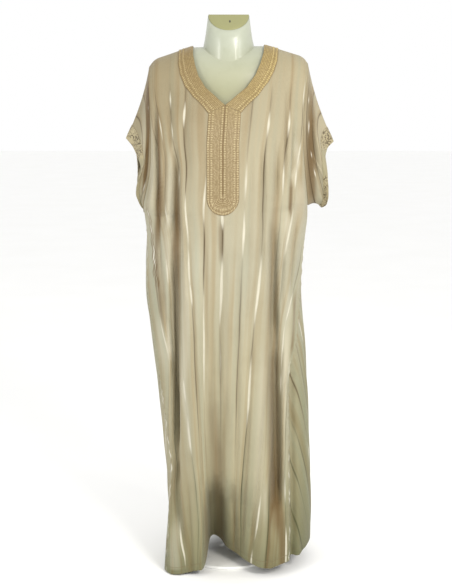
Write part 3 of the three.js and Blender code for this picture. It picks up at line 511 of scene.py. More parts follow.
class Finish:
    # one material and its shader
    def __init__(self, name, **constants):
        self.material = bpy.data.materials.new(name)
        self.material.use_nodes = True
        self.tree = self.material.node_tree
        self.tree.nodes.clear()
        self.shader = self.tree.nodes.new("ShaderNodeBsdfPrincipled")
        output = self.tree.nodes.new("ShaderNodeOutputMaterial")
        self.tree.links.new(self.shader.outputs[0], output.inputs[0])
        self.set(**constants)

    def set(self, **values):
        for key, value in values.items():
            name = "".join(" " + letter if letter.isupper() else letter for letter in key).strip().title()
            name = name.replace("Ior", "IOR")
            putIn(self.tree, self.shader.inputs[name], value)

    def node(self, kind, settings=None, out=0, **sockets):
        node = self.tree.nodes.new("ShaderNode" + kind)
        for key, value in (settings or {}).items():
            if key == "stops":
                ramp = node.color_ramp
                while len(ramp.elements) < len(value):
                    ramp.elements.new(0.5)
                for element, (position, colour) in zip(ramp.elements, value):
                    element.position = position
                    element.color = (*colour, 1)
            else:
                setattr(node, key, value)
        for key, value in sockets.items():
            slot = node.inputs[int(key[1:])] if key[0] == "i" and key[1:].isdigit() else node.inputs[key]
            putIn(self.tree, slot, value)
        return Socket(self.tree, node.outputs[out])

    def place(self):
        return self.node("TexCoord", out=3)

    def parts(self, vector):
        node = self.tree.nodes.new("ShaderNodeSeparateXYZ")
        putIn(self.tree, node.inputs[0], vector)
        return [Socket(self.tree, output) for output in node.outputs]

    def field(self, name):
        return self.node("Attribute", {"attribute_name": name}, out=2)

    def cut(self):
        return self.parts(self.node("UVMap", {"uv_map": "cut"}))

    def stretched(self, vector, scale):
        return self.node("Mapping", i0=vector, i3=scale)

    def noise(self, vector, scale, detail=2, roughness=0.5):
        return self.node("TexNoise", Vector=vector, Scale=scale, Detail=detail, Roughness=roughness)

    def blend(self, share, first, second, kind="MIX"):
        # colours: first where share is 0, second where it is 1
        node = self.tree.nodes.new("ShaderNodeMix")
        node.data_type = "RGBA"
        node.blend_type = kind
        putIn(self.tree, node.inputs[0], share)
        putIn(self.tree, node.inputs[6], first)
        putIn(self.tree, node.inputs[7], second)
        return Socket(self.tree, node.outputs[2])

    def bump(self, height, strength, distance):
        return self.node("Bump", Height=height, Strength=strength, Distance=distance)


# striped crepe: satin bands run down the cloth, one for each whole number of the cut's first direction
crepe = {
    # colours by height in metres, darker towards the hem as painted shade, then tints that are multiplied
    # in, then colours that are blended in
    "heights": [
        (0.0, (112, 110, 80)), (0.1, (134, 129, 98)), (0.3, (158, 150, 121)), (0.6, (164, 157, 131)),
        (0.85, (168, 162, 139)), (1.1, (166, 157, 131)), (1.3, (158, 148, 121)), (1.5, (153, 142, 111)),
    ],
    "top": 1.5,
    # the shade and side tints and the valley colour are painted shade, and shade also tints random cloudy
    # patches; the glint and gleam colours are painted highlights
    "warm": (0.86, 0.77, 0.66), "cool": (0.92, 0.98, 1.02), "shade": (0.72, 0.68, 0.6),
    "side": (0.5, 0.56, 0.42), "slub": (0.8, 0.76, 0.7),
    "valley": (92, 66, 24), "line": (74, 58, 32), "lowLine": (58, 62, 30), "glint": (198, 193, 174),
    "hemLine": (116, 104, 74), "gleam": (230, 226, 212),
    # how strongly each of them shows
    "valleyShadeDepth": 0.85, "highlightDepth": 0.6, "chestShade": 0.7, "sideShade": 0.75, "streakDepth": 0.8,
    "cloudDepth": 0.35, "slubDepth": 0.5, "besideDepth": 0.3, "gleamDepth": 0.8, "hemDepth": 0.5,
    # half widths of a band's line and of its spindle of painted highlight, in bands; the hem's stitches in
    # millimetres
    "lineHalf": 0.03, "glintHalf": 0.045, "hemPlace": 19, "hemHalf": 1.2,
    "roughness": 0.65, "satinRoughness": 0.45, "specular": 0.3, "sheen": 0.1, "sheenRoughness": 0.4,
}


def crepeFinish(name):
    finish = Finish(name, sheenWeight=crepe["sheen"], sheenRoughness=crepe["sheenRoughness"],
                    specularIorLevel=crepe["specular"])
    place = finish.place()
    side, _, height = finish.parts(place)
    across = finish.cut()[0]
    cloth = finish.node("UVMap", {"uv_map": "cut"})
    glint = finish.field("glint")
    # the colours by height, with painted shade darkening the cloth towards the hem
    stops = [(high / crepe["top"], linear(*colour)) for high, colour in crepe["heights"]]
    base = finish.node("ValToRGB", {"stops": stops}, Fac=height / crepe["top"])
    # painted shade darkens the left of the chest and the sides of the skirt, and long soft streaks run down
    # the cloth
    paintedShading = ((-0.02 - side) * 8).held() * ((height - 0.9) * 2.6).held()
    base = finish.blend(paintedShading * crepe["chestShade"], base, crepe["shade"], "MULTIPLY")
    # painted shade on the lower sides of the cloth
    outer = ((abs(side + 0.01) - 0.155) * 16).held() * ((0.95 - height) * 2.2).held()
    base = finish.blend(outer * crepe["sideShade"], base, crepe["side"], "MULTIPLY")
    streak = finish.noise(finish.stretched(cloth, (1.9, 0.05, 1)), 1, 2)
    for share, tint in (((streak - 0.5) * 7, "warm"), ((0.48 - streak) * 7, "cool")):
        base = finish.blend(share.held() * crepe["streakDepth"], base, crepe[tint], "MULTIPLY")
    cloudy = finish.noise(place, 11, 3)
    cloudy = ((cloudy - 0.52) * 3).held()
    base = finish.blend(cloudy * crepe["cloudDepth"], base, crepe["shade"], "MULTIPLY")
    slub = finish.noise(finish.stretched(cloth, (80, 40, 1)), 1, 2)
    base = finish.blend(((slub - 0.5) * 2).held() * crepe["slubDepth"], base, crepe["slub"], "MULTIPLY")
    # painted shade in the troughs of the folds and creases
    valley = (finish.field("valley") * crepe["valleyShadeDepth"]).held()
    base = finish.blend(valley, base, linear(*crepe["valley"]))
    # painted highlight along the ridges of the cloth
    base = finish.blend(finish.field("light") * crepe["highlightDepth"], base, linear(*crepe["glint"]))
    # a band shows as a thin dark line that comes and goes, partly its own darker thread and partly painted
    # dark reflection of the satin, and widens into a spindle of painted highlight
    away = abs(finish.node("Math", {"operation": "PINGPONG"}, i0=across + 100, i1=0.5))
    lineNoise = finish.noise(finish.stretched(cloth, (1, 0.22, 1)), 1, 2)
    lineShare = (finish.field("line") * (0.9 + (lineNoise - 0.5) * 2.4)).held()
    half = crepe["lineHalf"] + glint * crepe["glintHalf"]
    band = 1 - away.above(half, 0.025 + glint * 0.04)
    beside = (1 - (away - half - 0.03).above(0.02, 0.06)) * lineShare * crepe["besideDepth"]
    lineColour = finish.blend(((height - 0.15) * 2.5).held(), linear(*crepe["lowLine"]),
                              linear(*crepe["line"]))
    colour = finish.blend(beside, base, lineColour)
    colour = finish.blend(band * lineShare, colour, lineColour)
    # the painted highlight of the satin, broken along its length
    broken = finish.noise(finish.stretched(cloth, (9, 1.6, 1)), 1, 3)
    bright = (glint * 1.6).held() * band * (0.35 + broken * 1.1).held()
    colour = finish.blend(bright, colour, linear(*crepe["glint"]))
    # painted highlights on puckered seams and on the sleeves
    colour = finish.blend(finish.field("gleam") * crepe["gleamDepth"], colour, linear(*crepe["gleam"]))
    toHem = finish.field("toHem")
    stitched = 1 - abs(toHem - crepe["hemPlace"]).above(crepe["hemHalf"], 1.0)
    colour = finish.blend(stitched * crepe["hemDepth"], colour, linear(*crepe["hemLine"]))
    finish.set(baseColor=colour)
    finish.set(roughness=crepe["roughness"] - bright * (crepe["roughness"] - crepe["satinRoughness"]))
    weave = finish.node("TexWave", {"wave_type": "BANDS", "bands_direction": "X"},
                        Vector=finish.stretched(cloth, (60, 1, 1)), Scale=1.0, Distortion=1.5, Detail=2)
    grain = finish.noise(finish.stretched(place, (1, 1, 0.35)), 1500, 2)
    wrinkle = finish.noise(finish.stretched(cloth, (1.1, 0.55, 1)), 1, 4, 0.6)
    gathers = finish.noise(finish.stretched(cloth, (1.5, 5.5, 1)), 1, 2) * finish.field("pucker")
    relief = weave * 0.3 * (1 - band) + grain * 0.4 + band * 0.6
    relief = relief + wrinkle * 8 + gathers * 9 - stitched * 1.2
    finish.set(normal=finish.bump(relief, 0.6, 0.0008))
    return finish.material


frontCrepe = crepeFinish("striped_crepe")
sleeveCrepe = crepeFinish("sleeve_crepe")


def trimFinish(name):
    # the cuffs' trim: pale, knotted thread with dark gaps
    finish = Finish(name, roughness=0.6, sheenWeight=0.2, sheenRoughness=0.4)
    place = finish.place()
    turned = finish.field("turned")
    cells = finish.node("TexVoronoi", {"feature": "F1"}, Vector=place, Scale=230.0)
    patch = finish.noise(place, 55, 2)
    gaps = ((cells - 0.42) * 5).held() * ((patch - 0.36) * 5).held()
    colour = finish.blend(finish.noise(place, 30, 2), linear(168, 158, 126), linear(150, 136, 102))
    colour = finish.blend(gaps * 0.85, colour, linear(70, 58, 32))
    colour = finish.blend(turned, colour, linear(146, 138, 108))
    finish.set(baseColor=colour, normal=finish.bump(1 - cells, 0.8, 0.001))
    return finish.material


cuffThread = trimFinish("cuff_thread")

# the left and right colours are the braid shaded and lit, as painted shade and painted light; the gap
# colour is partly painted shade in the grooves
braidLook = {
    "bib": (174, 158, 121), "left": (150, 132, 88), "right": (180, 160, 100), "gap": (106, 84, 44),
    "bead": (190, 173, 130),
}


def braidFinish(name):
    finish = Finish(name, roughness=0.5, sheenWeight=0.2, sheenRoughness=0.35)
    place = finish.place()
    side, _, height = finish.parts(place)
    relief = finish.field("relief")
    cloth = finish.node("UVMap", {"uv_map": "cut"})
    slanted = finish.node("TexWave", {"wave_type": "BANDS", "bands_direction": "DIAGONAL"}, Vector=cloth,
                          Scale=150.0, Distortion=1.2, Detail=1)
    # the braid is darker on its left and lighter on its right, as painted shade and painted light
    sides = finish.blend(((side + 0.12) / 0.24).held(), linear(*braidLook["left"]),
                         linear(*braidLook["right"]))
    tint = finish.blend(((height - 1.2) / 0.09).held(), linear(*braidLook["bib"]), sides)
    worn = ((finish.noise(place, 70, 3) - 0.45) * 2).held()
    tint = finish.blend(worn * 0.35, tint, linear(*braidLook["left"]))
    # painted shade in the grooves, where the relief is low
    colour = finish.blend(((0.42 - relief) * 2.4).held(), tint, linear(*braidLook["gap"]))
    colour = finish.blend(((relief - 0.62) * 2.6).held() * 0.55, colour, linear(*braidLook["bead"]))
    lace = finish.node("TexVoronoi", {"feature": "F1"}, Vector=place, Scale=240.0)
    colour = finish.blend(((lace - 0.4) * 3).held() * 0.4, colour, linear(*braidLook["gap"]))
    colour = finish.blend(((0.25 - lace) * 5).held() * 0.35, colour, linear(*braidLook["bead"]))
    colour = finish.blend(slanted * 0.15, colour, linear(*braidLook["gap"]))
    finish.set(baseColor=colour, normal=finish.bump(slanted + finish.noise(place, 900, 2), 0.5, 0.0005))
    return finish.material


goldBraid = braidFinish("golden_braid")


def plasticFinish(name, low, high, roughness, speckle, coat=0.0):
    # one colour below the shoulders, another above them
    finish = Finish(name, coatWeight=coat, coatRoughness=0.2)
    place = finish.place()
    height = finish.parts(place)[2]
    cloudy = (finish.noise(place, 5, 3) - 0.5) * 0.6
    colour = finish.blend(((height - 1.3) / 0.12 + cloudy).held(), linear(*low), linear(*high))
    grime = finish.noise(place, 40, 4)
    colour = finish.blend(((grime - 0.5) * 2).held() * 0.3, colour, linear(132, 134, 104))
    finish.set(baseColor=colour, roughness=roughness + (grime - 0.5) * speckle)
    finish.set(normal=finish.bump(finish.noise(place, 120, 3), 0.08, 0.001))
    return finish.material


creamPlastic = plasticFinish("cream_plastic", (152, 151, 119), (164, 168, 150), 0.42, 0.12, 0.4)
oliveCap = plasticFinish("olive_cap", (134, 133, 90), (140, 139, 95), 0.6, 0.2)
whiteMetal = plasticFinish("white_metal", (236, 236, 232), (240, 240, 236), 0.35, 0.15)
# the painted shade inside the cap's small hole
holeShade = plasticFinish("painted_hole_shade", (70, 66, 50), (52, 50, 40), 0.5, 0.1)
print("materials ready")

# turn in degrees of each satin band of the front at a few heights, from the left to the right
bandPaths = {
    "height": [50, 150, 260, 350, 430, 520, 600, 680, 760, 840, 920, 1000, 1070, 1150, 1220, 1280],
    -6: [-57, -61, -64, -65, -61, -55, -51, -56, -57, -61, -69, -76, -84, -90, -96, -100],
    -5: [-54, -60, -62, -62, -58, -53, -48, -45, -42, -45, -51, -57, -70, -80, -86, -90],
    -4: [-47, -56, -60, -60, -56, -51, -46, -42, -38, -40, -43, -46, -58, -65, -70, -77],
    -3: [-36, -34, -35, -36.5, -37, -38, -36.5, -35, -32, -33, -34, -34, -42, -52, -55, -55],
    -2: [-31, -30, -30, -29, -28, -27, -26, -24, -23, -26, -28, -28.5, -35, -40, -41, -38],
    -1: [-25, -25, -25, -24, -23, -21, -19, -16.5, -14, -14.5, -15.5, -15, -17, -18.5, -18, -17],
    0: [-16, -16, -14, -12.4, -10.4, -8.4, -6.4, -5, -1.5, -1.5, -2.6, -2.6, -4.2, -4.6, -4.3, -4],
    1: [-7, -5.7, -3.6, -1.4, 1, 3.4, 6, 9.4, 12.4, 12.5, 12, 12.6, 15, 18.6, 21.7, 23.5],
    2: [0, 0, 1.5, 5.2, 9, 12.4, 15.7, 19.8, 25, 27, 26.2, 25.5, 29.5, 35.3, 39.3, 41],
    3: [8, 13, 17.7, 22, 24.6, 27.4, 30.8, 35.8, 40, 41, 40, 40.3, 49, 59.7, 64.4, 63],
    4: [19.7, 22, 24, 29.7, 33, 35, 37, 41, 46, 47, 49, 54, 64, 83, 88, 86],
    5: [28.3, 30.6, 33, 36, 37.5, 39.5, 42, 46.4, 61.3, 74.3, 75, 82, 88, 93, 96, 98],
    6: [38, 37.5, 37.6, 40, 42, 46, 53, 62, 75.5, 84, 90, 97, 102, 105, 108, 110],
}
# where a painted highlight lies on a band of the front: band, upper and lower height, share of full
# strength
frontGlints = [
    (-2, 1258, 1215, 0.8), (-2, 1030, 905, 0.9), (-2, 885, 800, 0.9), (-2, 795, 755, 1),
    (-3, 1285, 1262, 0.6), (-3, 1208, 1180, 0.6), (-3, 1088, 1058, 0.7), (-3, 535, 494, 1),
    (-3, 436, 350, 0.9), (-1, 1075, 960, 0.6), (-1, 780, 500, 0.7), (0, 985, 955, 0.8), (0, 868, 700, 1),
    (0, 640, 560, 0.3), (1, 1105, 1029, 0.5), (1, 985, 880, 0.7), (2, 1235, 1190, 0.6), (2, 870, 700, 1),
    (2, 605, 430, 0.9), (3, 1238, 1190, 0.6), (3, 1110, 1040, 0.7), (3, 230, 110, 0.9), (3, 62, 12, 0.7),
    (4, 1310, 1262, 0.6), (4, 1155, 1115, 1), (4, 1090, 1058, 0.9), (4, 987, 880, 0.8), (5, 760, 700, 1),
    (5, 690, 560, 0.8), (5, 550, 510, 0.8), (6, 577, 538, 0.9), (6, 264, 213, 0.6), (6, 130, 18, 1),
    (-4, 1224, 1180, 0.6), (-4, 1002, 962, 0.6), (-4, 130, 33, 0.9), (-5, 852, 803, 0.8),
    (-6, 700, 598, 0.8),
]
# where a band shows as a dark line: partly its own darker thread, partly painted dark reflection
frontLines = [
    (-2, 1310, 1262, 0.6), (-2, 1215, 1030, 0.9), (-2, 750, 380, 0.8), (-1, 958, 785, 0.9),
    (-1, 500, 300, 0.3), (0, 960, 870, 0.9), (0, 700, 400, 0.5), (1, 1310, 1110, 0.6), (1, 880, 330, 0.7),
    (2, 1300, 1235, 0.4), (2, 1190, 870, 0.9), (2, 705, 600, 0.6), (2, 500, -20, 0.9),
    (3, 1300, 1240, 0.4), (3, 1190, 1110, 0.9), (3, 1020, 800, 0.3), (4, 1262, 1160, 0.8),
    (4, 870, 760, 0.4), (4, 240, -20, 0.9), (5, 880, 770, 0.5), (6, 530, 270, 0.5), (6, 220, 130, 0.5),
    (-3, 1300, 1210, 0.5), (-3, 1170, 1095, 0.5), (-3, 1050, 560, 0.3), (-3, 350, 20, 0.5),
    (-4, 1290, 1230, 0.5), (-4, 1170, 1010, 0.6), (-4, 950, 140, 0.5), (-5, 1300, 870, 0.4),
    (-5, 800, 100, 0.5), (-6, 900, 705, 0.6), (-6, 590, 60, 0.5),
]
bandTurn = 16.4     # degrees between two bands where nothing gathers them
# painted highlights on the back's bands, placed at random
backGlints = []
for number in range(-9, 10):
    start = rng.uniform(1150, 1330)
    while start > 60:
        length = rng.uniform(25, 110)
        backGlints.append((number, start, start - length, rng.uniform(0.5, 1)))
        start -= length + rng.uniform(60, 260)


def frontBands(height, turn):
    # place among the bands: straight lines between neighbours at that height, even steps beyond the last
    degrees = np.degrees(turn)
    numbers = [key for key in bandPaths if key != "height"]
    lines = [softLookUp(bandPaths, "height", height, number, 25) for number in numbers]
    band = numbers[0] + (degrees - lines[0]) / bandTurn
    for number, here, after in zip(numbers, lines, lines[1:]):
        band = np.where(degrees > here, number + (degrees - here) / np.maximum(after - here, 1.5), band)
    return np.where(degrees > lines[-1], numbers[-1] + (degrees - lines[-1]) / bandTurn, band)


def backBands(height, turn):
    # even steps from the middle of the back, leaning outwards near the side seams as they go down
    degrees = np.degrees(turn) - 180
    lean = 0.115 * clamp(720 - height, -200, 700) * np.sign(degrees) * smooth((np.abs(degrees) - 35) / 60)
    return (degrees + lean) / bandTurn


def spotsAt(spots, band, height, power, spare):
    # each spot is a spindle on one band: widest in its middle and drawn out at both ends
    number = np.round(band)
    glow = np.zeros_like(band)
    for index, high, low, share in spots:
        away = (height - (high + low) / 2) / ((high - low) / 2 + spare)
        spot = share * clamp(1 - np.abs(away) ** power, 0, 1)
        glow = np.maximum(glow, np.where(number == index, spot, 0))
    return glow


shadeSpread = 1.2


def shadesAt(table, height, across):
    # the sum over the rows of share * exp(-(distance / (spread * half width)) cubed)
    total = np.zeros_like(height)
    for row in table:
        levels, *columns = np.array(row[::-1], float).T
        place, half, share = (np.interp(height, levels, column) for column in columns)
        share = np.where((height > levels[-1]) | (height < levels[0]), 0, share)
        total += share * np.exp(-np.abs((across - place) / (shadeSpread * half)) ** 3)
    return total


# the tuck at the front's left edge, drawn as a painted highlight: its turn in degrees by height, its ends
# and half width, and the two lines of painted shade beside it
seamTuck = {
    "height": [790, 803, 855, 894, 934, 975, 1001, 1030],
    "turn": [-56, -57, -63, -65, -69, -67, -75, -80],
    "bottom": 770, "top": 1010, "fade": 30,
    "half": 0.016, "beside": 0.036, "besideHalf": 0.018, "depth": 0.8,
}
panelGrid = {
    "columns": 250, "rows": 190, "backColumns": 200, "backRows": 180, "upper": 0.42, "upperPower": 1.25,
}
# gathers along the side seams, and a painted highlight along each seam below a height on each panel
seamLook = {
    "reach": 11, "depth": 1.6, "from": 20, "over": 60, "gleamPlace": 3, "gleamHalf": 2.6,
    "gleamTop": {"front": 360, "back": 520},
}
# low pleats, one beside each band: they begin below the ridge and end before the seams
clothPleat = {"depth": 1.5, "from": 60, "over": 250, "seamGap": 40, "shadeDepth": 0.04}


def topPath(behind, share):
    # the panel's top edge by arc length: along the ridge and round the neck opening
    table = backNeck if behind else frontNeck
    away = np.concatenate([[garment["shoulderEnd"], 150], table["inner"]])
    drop = np.concatenate([[0, 0], table["innerDrop"]])
    across = np.concatenate([-away, away[-2::-1]])
    down = np.concatenate([drop, drop[-2::-1]])
    if behind:
        across, down = across[::-1], down[::-1]
    length = np.concatenate([[0], np.cumsum(np.hypot(np.diff(across), np.diff(down)))])
    at = share * length[-1]
    across = np.interp(at, length, across)
    down = np.interp(at, length, down)
    height = dropToHeight(behind, across, down)
    shift = 0 if behind else centreAt(height) * smooth((200 - np.abs(across)) / 60)
    turn = turnAt(height, across + shift, behind)
    return np.where(turn < -quarter / 2, turn + 2 * math.pi, turn) if behind else turn, down


def panelGridPoints(behind, columns, rows):
    # turn and drop of each point of a body panel, from seam to seam and from the shoulder to the hem
    def swing(height, side):
        return np.radians(softLookUp(seamSwing, "height", height, side, garment["seamRound"]))

    def between(height, share):
        left = -quarter + swing(height, "left")
        right = quarter - swing(height, "right")
        return mix(right, 2 * math.pi + left, share) if behind else mix(left, right, share)

    share = np.linspace(0, 1, columns)[None, :]
    upperRows = round(rows * panelGrid["upper"])
    down = (np.linspace(0, 1, upperRows + 1) ** panelGrid["upperPower"])[:, None]
    armpitTurn = between(garment["armpitMiddle"] + garment["armpitTilt"], share)
    top, topDrop = topPath(behind, share)
    armpitAcross = acrossAt(garment["armpitMiddle"], armpitTurn)
    low = heightToDrop(np.cos(armpitTurn) < 0, armpitAcross, armpitAt(armpitTurn))
    ends = between(1400, np.array([0.0, 1.0]))
    turn = mix(clamp(top, ends[0], ends[1]), armpitTurn, down)
    drop = mix(np.maximum(topDrop, 0.2), low, down)
    below = np.linspace(0, 1, rows - upperRows)[1:, None]
    hemTurn = between(30, share)
    hem = hemAt(hemTurn) + garment["hemFoldRise"] * np.maximum(0, foldPush(30, hemTurn, mainFolds))
    height = mix(armpitAt(armpitTurn), hem, below)
    lowTurn = between(height, share)
    lowDrop = heightToDrop(np.cos(lowTurn) < 0, acrossAt(height, lowTurn), height)
    return np.concatenate([turn, lowTurn]), np.concatenate([drop, lowDrop])


def makePanel(name, node, behind, columns, rows):
    turn, drop = panelGridPoints(behind, columns, rows)
    middle, push, across = bodyPoint(turn, drop, full=True)
    height = middle[..., 2]
    band = backBands(height, turn) if behind else frontBands(height, turn)
    # the cloth lies in low pleats beside the bands and is drawn up along the side seams
    steps = np.linalg.norm(np.diff(middle, axis=1), axis=-1)
    fromLeft = np.concatenate([np.zeros((len(middle), 1)), np.cumsum(steps, 1)], 1)
    toSeam = np.minimum(fromLeft, fromLeft[:, -1:] - fromLeft)
    below = smooth((garment["armpitMiddle"] - seamLook["from"] - height) / seamLook["over"])
    pucker = np.exp(-(toSeam / seamLook["reach"]) ** 2) * below
    wave = np.sin(height / 4.1 + 2.2 * np.sin(height / 37) + 1.4 * np.sin(height / 91))
    uneven = 0.6 + 0.4 * np.sin(height / 170 + band * 1.9)
    pleat = np.cos(2 * math.pi * band) * uneven * clothPleat["depth"]
    pleat = pleat * smooth((drop - clothPleat["from"]) / clothPleat["over"])
    pleat = pleat * smooth(toSeam / clothPleat["seamGap"])
    middle = middle + gridNormals(middle) * (pleat + seamLook["depth"] * wave * pucker)[..., None]
    normals = gridNormals(middle)
    half = garment["layer"] / 2
    uv = np.stack([band, drop * 0.02], -1)
    # a painted highlight along the seam
    seamGleam = np.exp(-((toSeam - seamLook["gleamPlace"]) / seamLook["gleamHalf"]) ** 2)
    seamGleam = seamGleam * smooth((seamLook["gleamTop"]["back" if behind else "front"] - height) / 60)
    if behind:
        # painted shade in the back's folds
        paintedShading = 0.8 * (1 - np.exp(-(foldPush(height, turn, [(backFolds, True)]) / 40) ** 2))
        line = 0.6 + 0.35 * np.sin(height / 83 + 2 * np.round(band))
        tuckGleam = seamGleam
    else:
        # painted shade in the front's troughs and painted highlight on its ridges
        paintedShading = shadesAt(frontShades, height, across)
        line = np.maximum(0.1, spotsAt(frontLines, band, height, 2, 25))
        tuckTurn = np.radians(np.interp(height, seamTuck["height"], seamTuck["turn"]))
        tuckTurn = tuckTurn + 0.02 * np.sin(height / 6.3) + 0.016 * np.sin(height / 14.7)
        window = smooth((height - seamTuck["bottom"]) / seamTuck["fade"])
        window = window * smooth((seamTuck["top"] - height) / seamTuck["fade"])
        fromTuck = np.abs(turn - tuckTurn)
        # the tuck's painted highlight, and painted shade in the two lines beside it
        tuckGleam = np.exp(-(fromTuck / seamTuck["half"]) ** 2) * window
        beside = (np.exp(-((fromTuck - seamTuck["beside"]) / seamTuck["besideHalf"]) ** 2)
                  + np.exp(-((fromTuck + seamTuck["beside"]) / seamTuck["besideHalf"]) ** 2))
        paintedShading = paintedShading + seamTuck["depth"] * beside * window
        tuckGleam = tuckGleam + seamGleam * (fromLeft > 200)     # the right seam alone
    fine = foldPush(height, turn, [(backCreases, True)] if behind else [(frontCreases, False)])
    tucks = smooth(np.sin(height / 9.5 + 3 * np.sin(height / 53)) * 2)
    # painted shade in the folds and the creases
    valley = clamp(paintedShading + clothPleat["shadeDepth"] * fine, 0, 1)
    fields = {"glint": spotsAt(backGlints if behind else frontGlints, band, height, 1.3, 14),
              "line": line, "valley": valley, "light": clamp(-paintedShading, 0, 1),
              "gleam": tuckGleam * tucks, "toHem": drop[-1:] - drop, "pucker": pucker}
    piece = shellPiece(name, middle + normals * half, middle - normals * half, frontCrepe, uv, fields)
    return tell(piece, node)


frontCloth = makePanel("front_cloth", "front_panel", False, panelGrid["columns"], panelGrid["rows"])
backCloth = makePanel("back_cloth", "back_panel", True, panelGrid["backColumns"], panelGrid["backRows"])
print("panels made")


def sleevePoint(side, along, round):
    # straight lines from the armhole to the cuff's edge, with soft folds pushed into them
    cuff = cuffEdges[side]
    outwards = 1 if side == "right" else -1
    behind = round > 1
    around = np.where(behind, 2 - round, round)
    sideTurn = outwards * quarter
    turn = np.where(behind, math.pi - sideTurn + outwards * 1e-4, sideTurn - outwards * 1e-4)
    armpitDrop = heightToDrop(behind, acrossAt(garment["armpitMiddle"], turn), armpitAt(sideTurn))
    start = bodyPoint(turn, armpitDrop * around, mainFolds)
    start[..., 0] += outwards * (0.45 + 0.5 * np.sin(math.pi * around) + 1.4 * around ** 6)
    swell = np.sin(math.pi * around)
    end = np.stack([softLookUp(cuff, "round", around, "across", 0.03),
                    np.where(behind, 1, -1) * sleeveCloth["cuffDepth"] * swell,
                    softLookUp(cuff, "round", around, "height", 0.03)], -1)
    notch = np.exp(-((around - sleeveCloth["notchRound"]) / sleeveCloth["notchSpread"]) ** 2)
    notch = np.where(behind | (side != "left"), 0, notch)
    end[..., 0] += sleeveCloth["notchDepth"] * notch
    point = start + (end - start) * along[..., None]
    for place, middle, reach, spread, front, back in sleeveCloth["folds"] + sleeveCloth["creases"]:
        away = ((along - place) / reach) ** 2 + ((around - middle) / spread) ** 2
        depth = np.where(behind, -back, front) * np.exp(-away) * swell * (1 - notch)
        point[..., 1] += depth * smooth(along / 0.12)
    point[..., 0] -= outwards * 7 * np.sin(math.pi * along) * (1 - around)
    point[..., 2] += 8 * np.sin(math.pi * along) * around
    return point


def makeSleeve(side):
    rounds = np.linspace(0, 2, 221)[:-1]
    alongs = np.linspace(0, 1, 70)
    along, round = np.meshgrid(alongs, rounds, indexing="ij")
    middle = sleevePoint(side, along, round)
    normals = gridNormals(middle, True)
    half = garment["layer"] / 2
    # the bands run round the sleeve, at even distances from the armhole
    fromArmhole = along * np.linalg.norm(middle[-1] - middle[0], axis=-1)
    band = (fromArmhole - sleeveCloth["firstBand"]) / sleeveCloth["bandPitch"]
    armhole = np.where(round[0] <= 1)[0][::-1]
    away = np.abs(middle[..., 0] - np.interp(middle[..., 2], middle[0, armhole, 2], middle[0, armhole, 0]))
    shade = shadesAt(sleeveShades[side], middle[..., 2], away) * np.where(round > 1, 0.4, 1)
    uv = np.stack([np.concatenate([band, band[:, :1]], 1),
                   np.concatenate([round, np.full((70, 1), 2.0)], 1) * 8], -1)
    glint = sum(np.exp(-((fromArmhole - place) / 3) ** 2 - ((round - around) / reach) ** 2)
                for place, around, reach in sleeveGlints[side])
    fields = {"glint": np.zeros_like(along), "line": np.full_like(along, 0.8), "valley": clamp(shade, 0, 1),
              "light": clamp(-shade, 0, 1), "gleam": glint, "toHem": np.full_like(along, 99),
              "pucker": np.exp(-(fromArmhole / 7) ** 2)}
    outer = middle + normals * half
    inner = middle - normals * half
    piece = shellPiece("sleeve_cloth_" + side, outer, inner, sleeveCrepe, uv, fields, closed=True)
    return tell(piece, "sleeve_" + side)


sleeves = {side: makeSleeve(side) for side in ("left", "right")}
print("sleeves made")

# braid: rows of cord lie side by side; every third one is beaded
braidCut = {
    "rise": 1.3, "gap": 0.15, "cordPitch": 3.6, "cordHeight": 0.55, "beadPitch": 5.8, "beadHeight": 1.1,
    "beadHalf": 2.6, "bandWidth": 37, "bandBeads": (24.5, 33.4), "bibBeads": (3.6, 12.2, 36.6),
}


def cordRelief(across, along, beads, width):
    # fine cords over the whole width, with beaded rows at the given distances from the edge
    row = np.floor(across / braidCut["cordPitch"])
    twist = 0.7 + 0.3 * np.sin(along * 1.7 + row * 2.1)
    relief = braidCut["cordHeight"] * np.abs(np.sin(math.pi * across / braidCut["cordPitch"])) * twist
    for place in beads:
        away = (across - place) / braidCut["beadHalf"]
        bead = np.sqrt(clamp(1 - away ** 2, 0, 1))
        knots = 0.1 + 0.9 * np.sin(math.pi * along / braidCut["beadPitch"]) ** 2
        relief = np.where(np.abs(away) < 1.1, braidCut["beadHeight"] * bead * knots, relief)
    edge = smooth(across / 1.2) * smooth((width - across) / 1.2)
    return relief * edge


def overBody(behind, across, drop):
    return bodyPoint(turnAt(dropToHeight(behind, across, drop), across, behind), drop)


def makeBraid(name, node, behind, across, drop, relief, uv):
    middle = overBody(behind, across, drop)
    normals = gridNormals(middle)
    outwards = np.sign((normals[..., 1] * (1 if behind else -1)).sum())
    normals *= outwards
    bottom = garment["layer"] / 2 + braidCut["gap"]
    top = middle + normals * (bottom + braidCut["rise"] + relief)[..., None]
    fields = {"relief": relief / braidCut["beadHeight"]}
    piece = shellPiece(name, top, middle + normals * bottom, goldBraid, uv, fields)
    return tell(piece, node)


def alongTable(table, share):
    # columns of a neck table by the share of the way along the braid's middle line
    step = np.hypot(np.diff(table["inner"]) + np.diff(table["outer"]),
                    np.diff(table["innerDrop"]) + np.diff(table["outerDrop"]))
    length = np.concatenate([[0], np.cumsum(step)])
    return {key: np.interp(share * length[-1], length, table[key]) for key in table}, length[-1] / 2


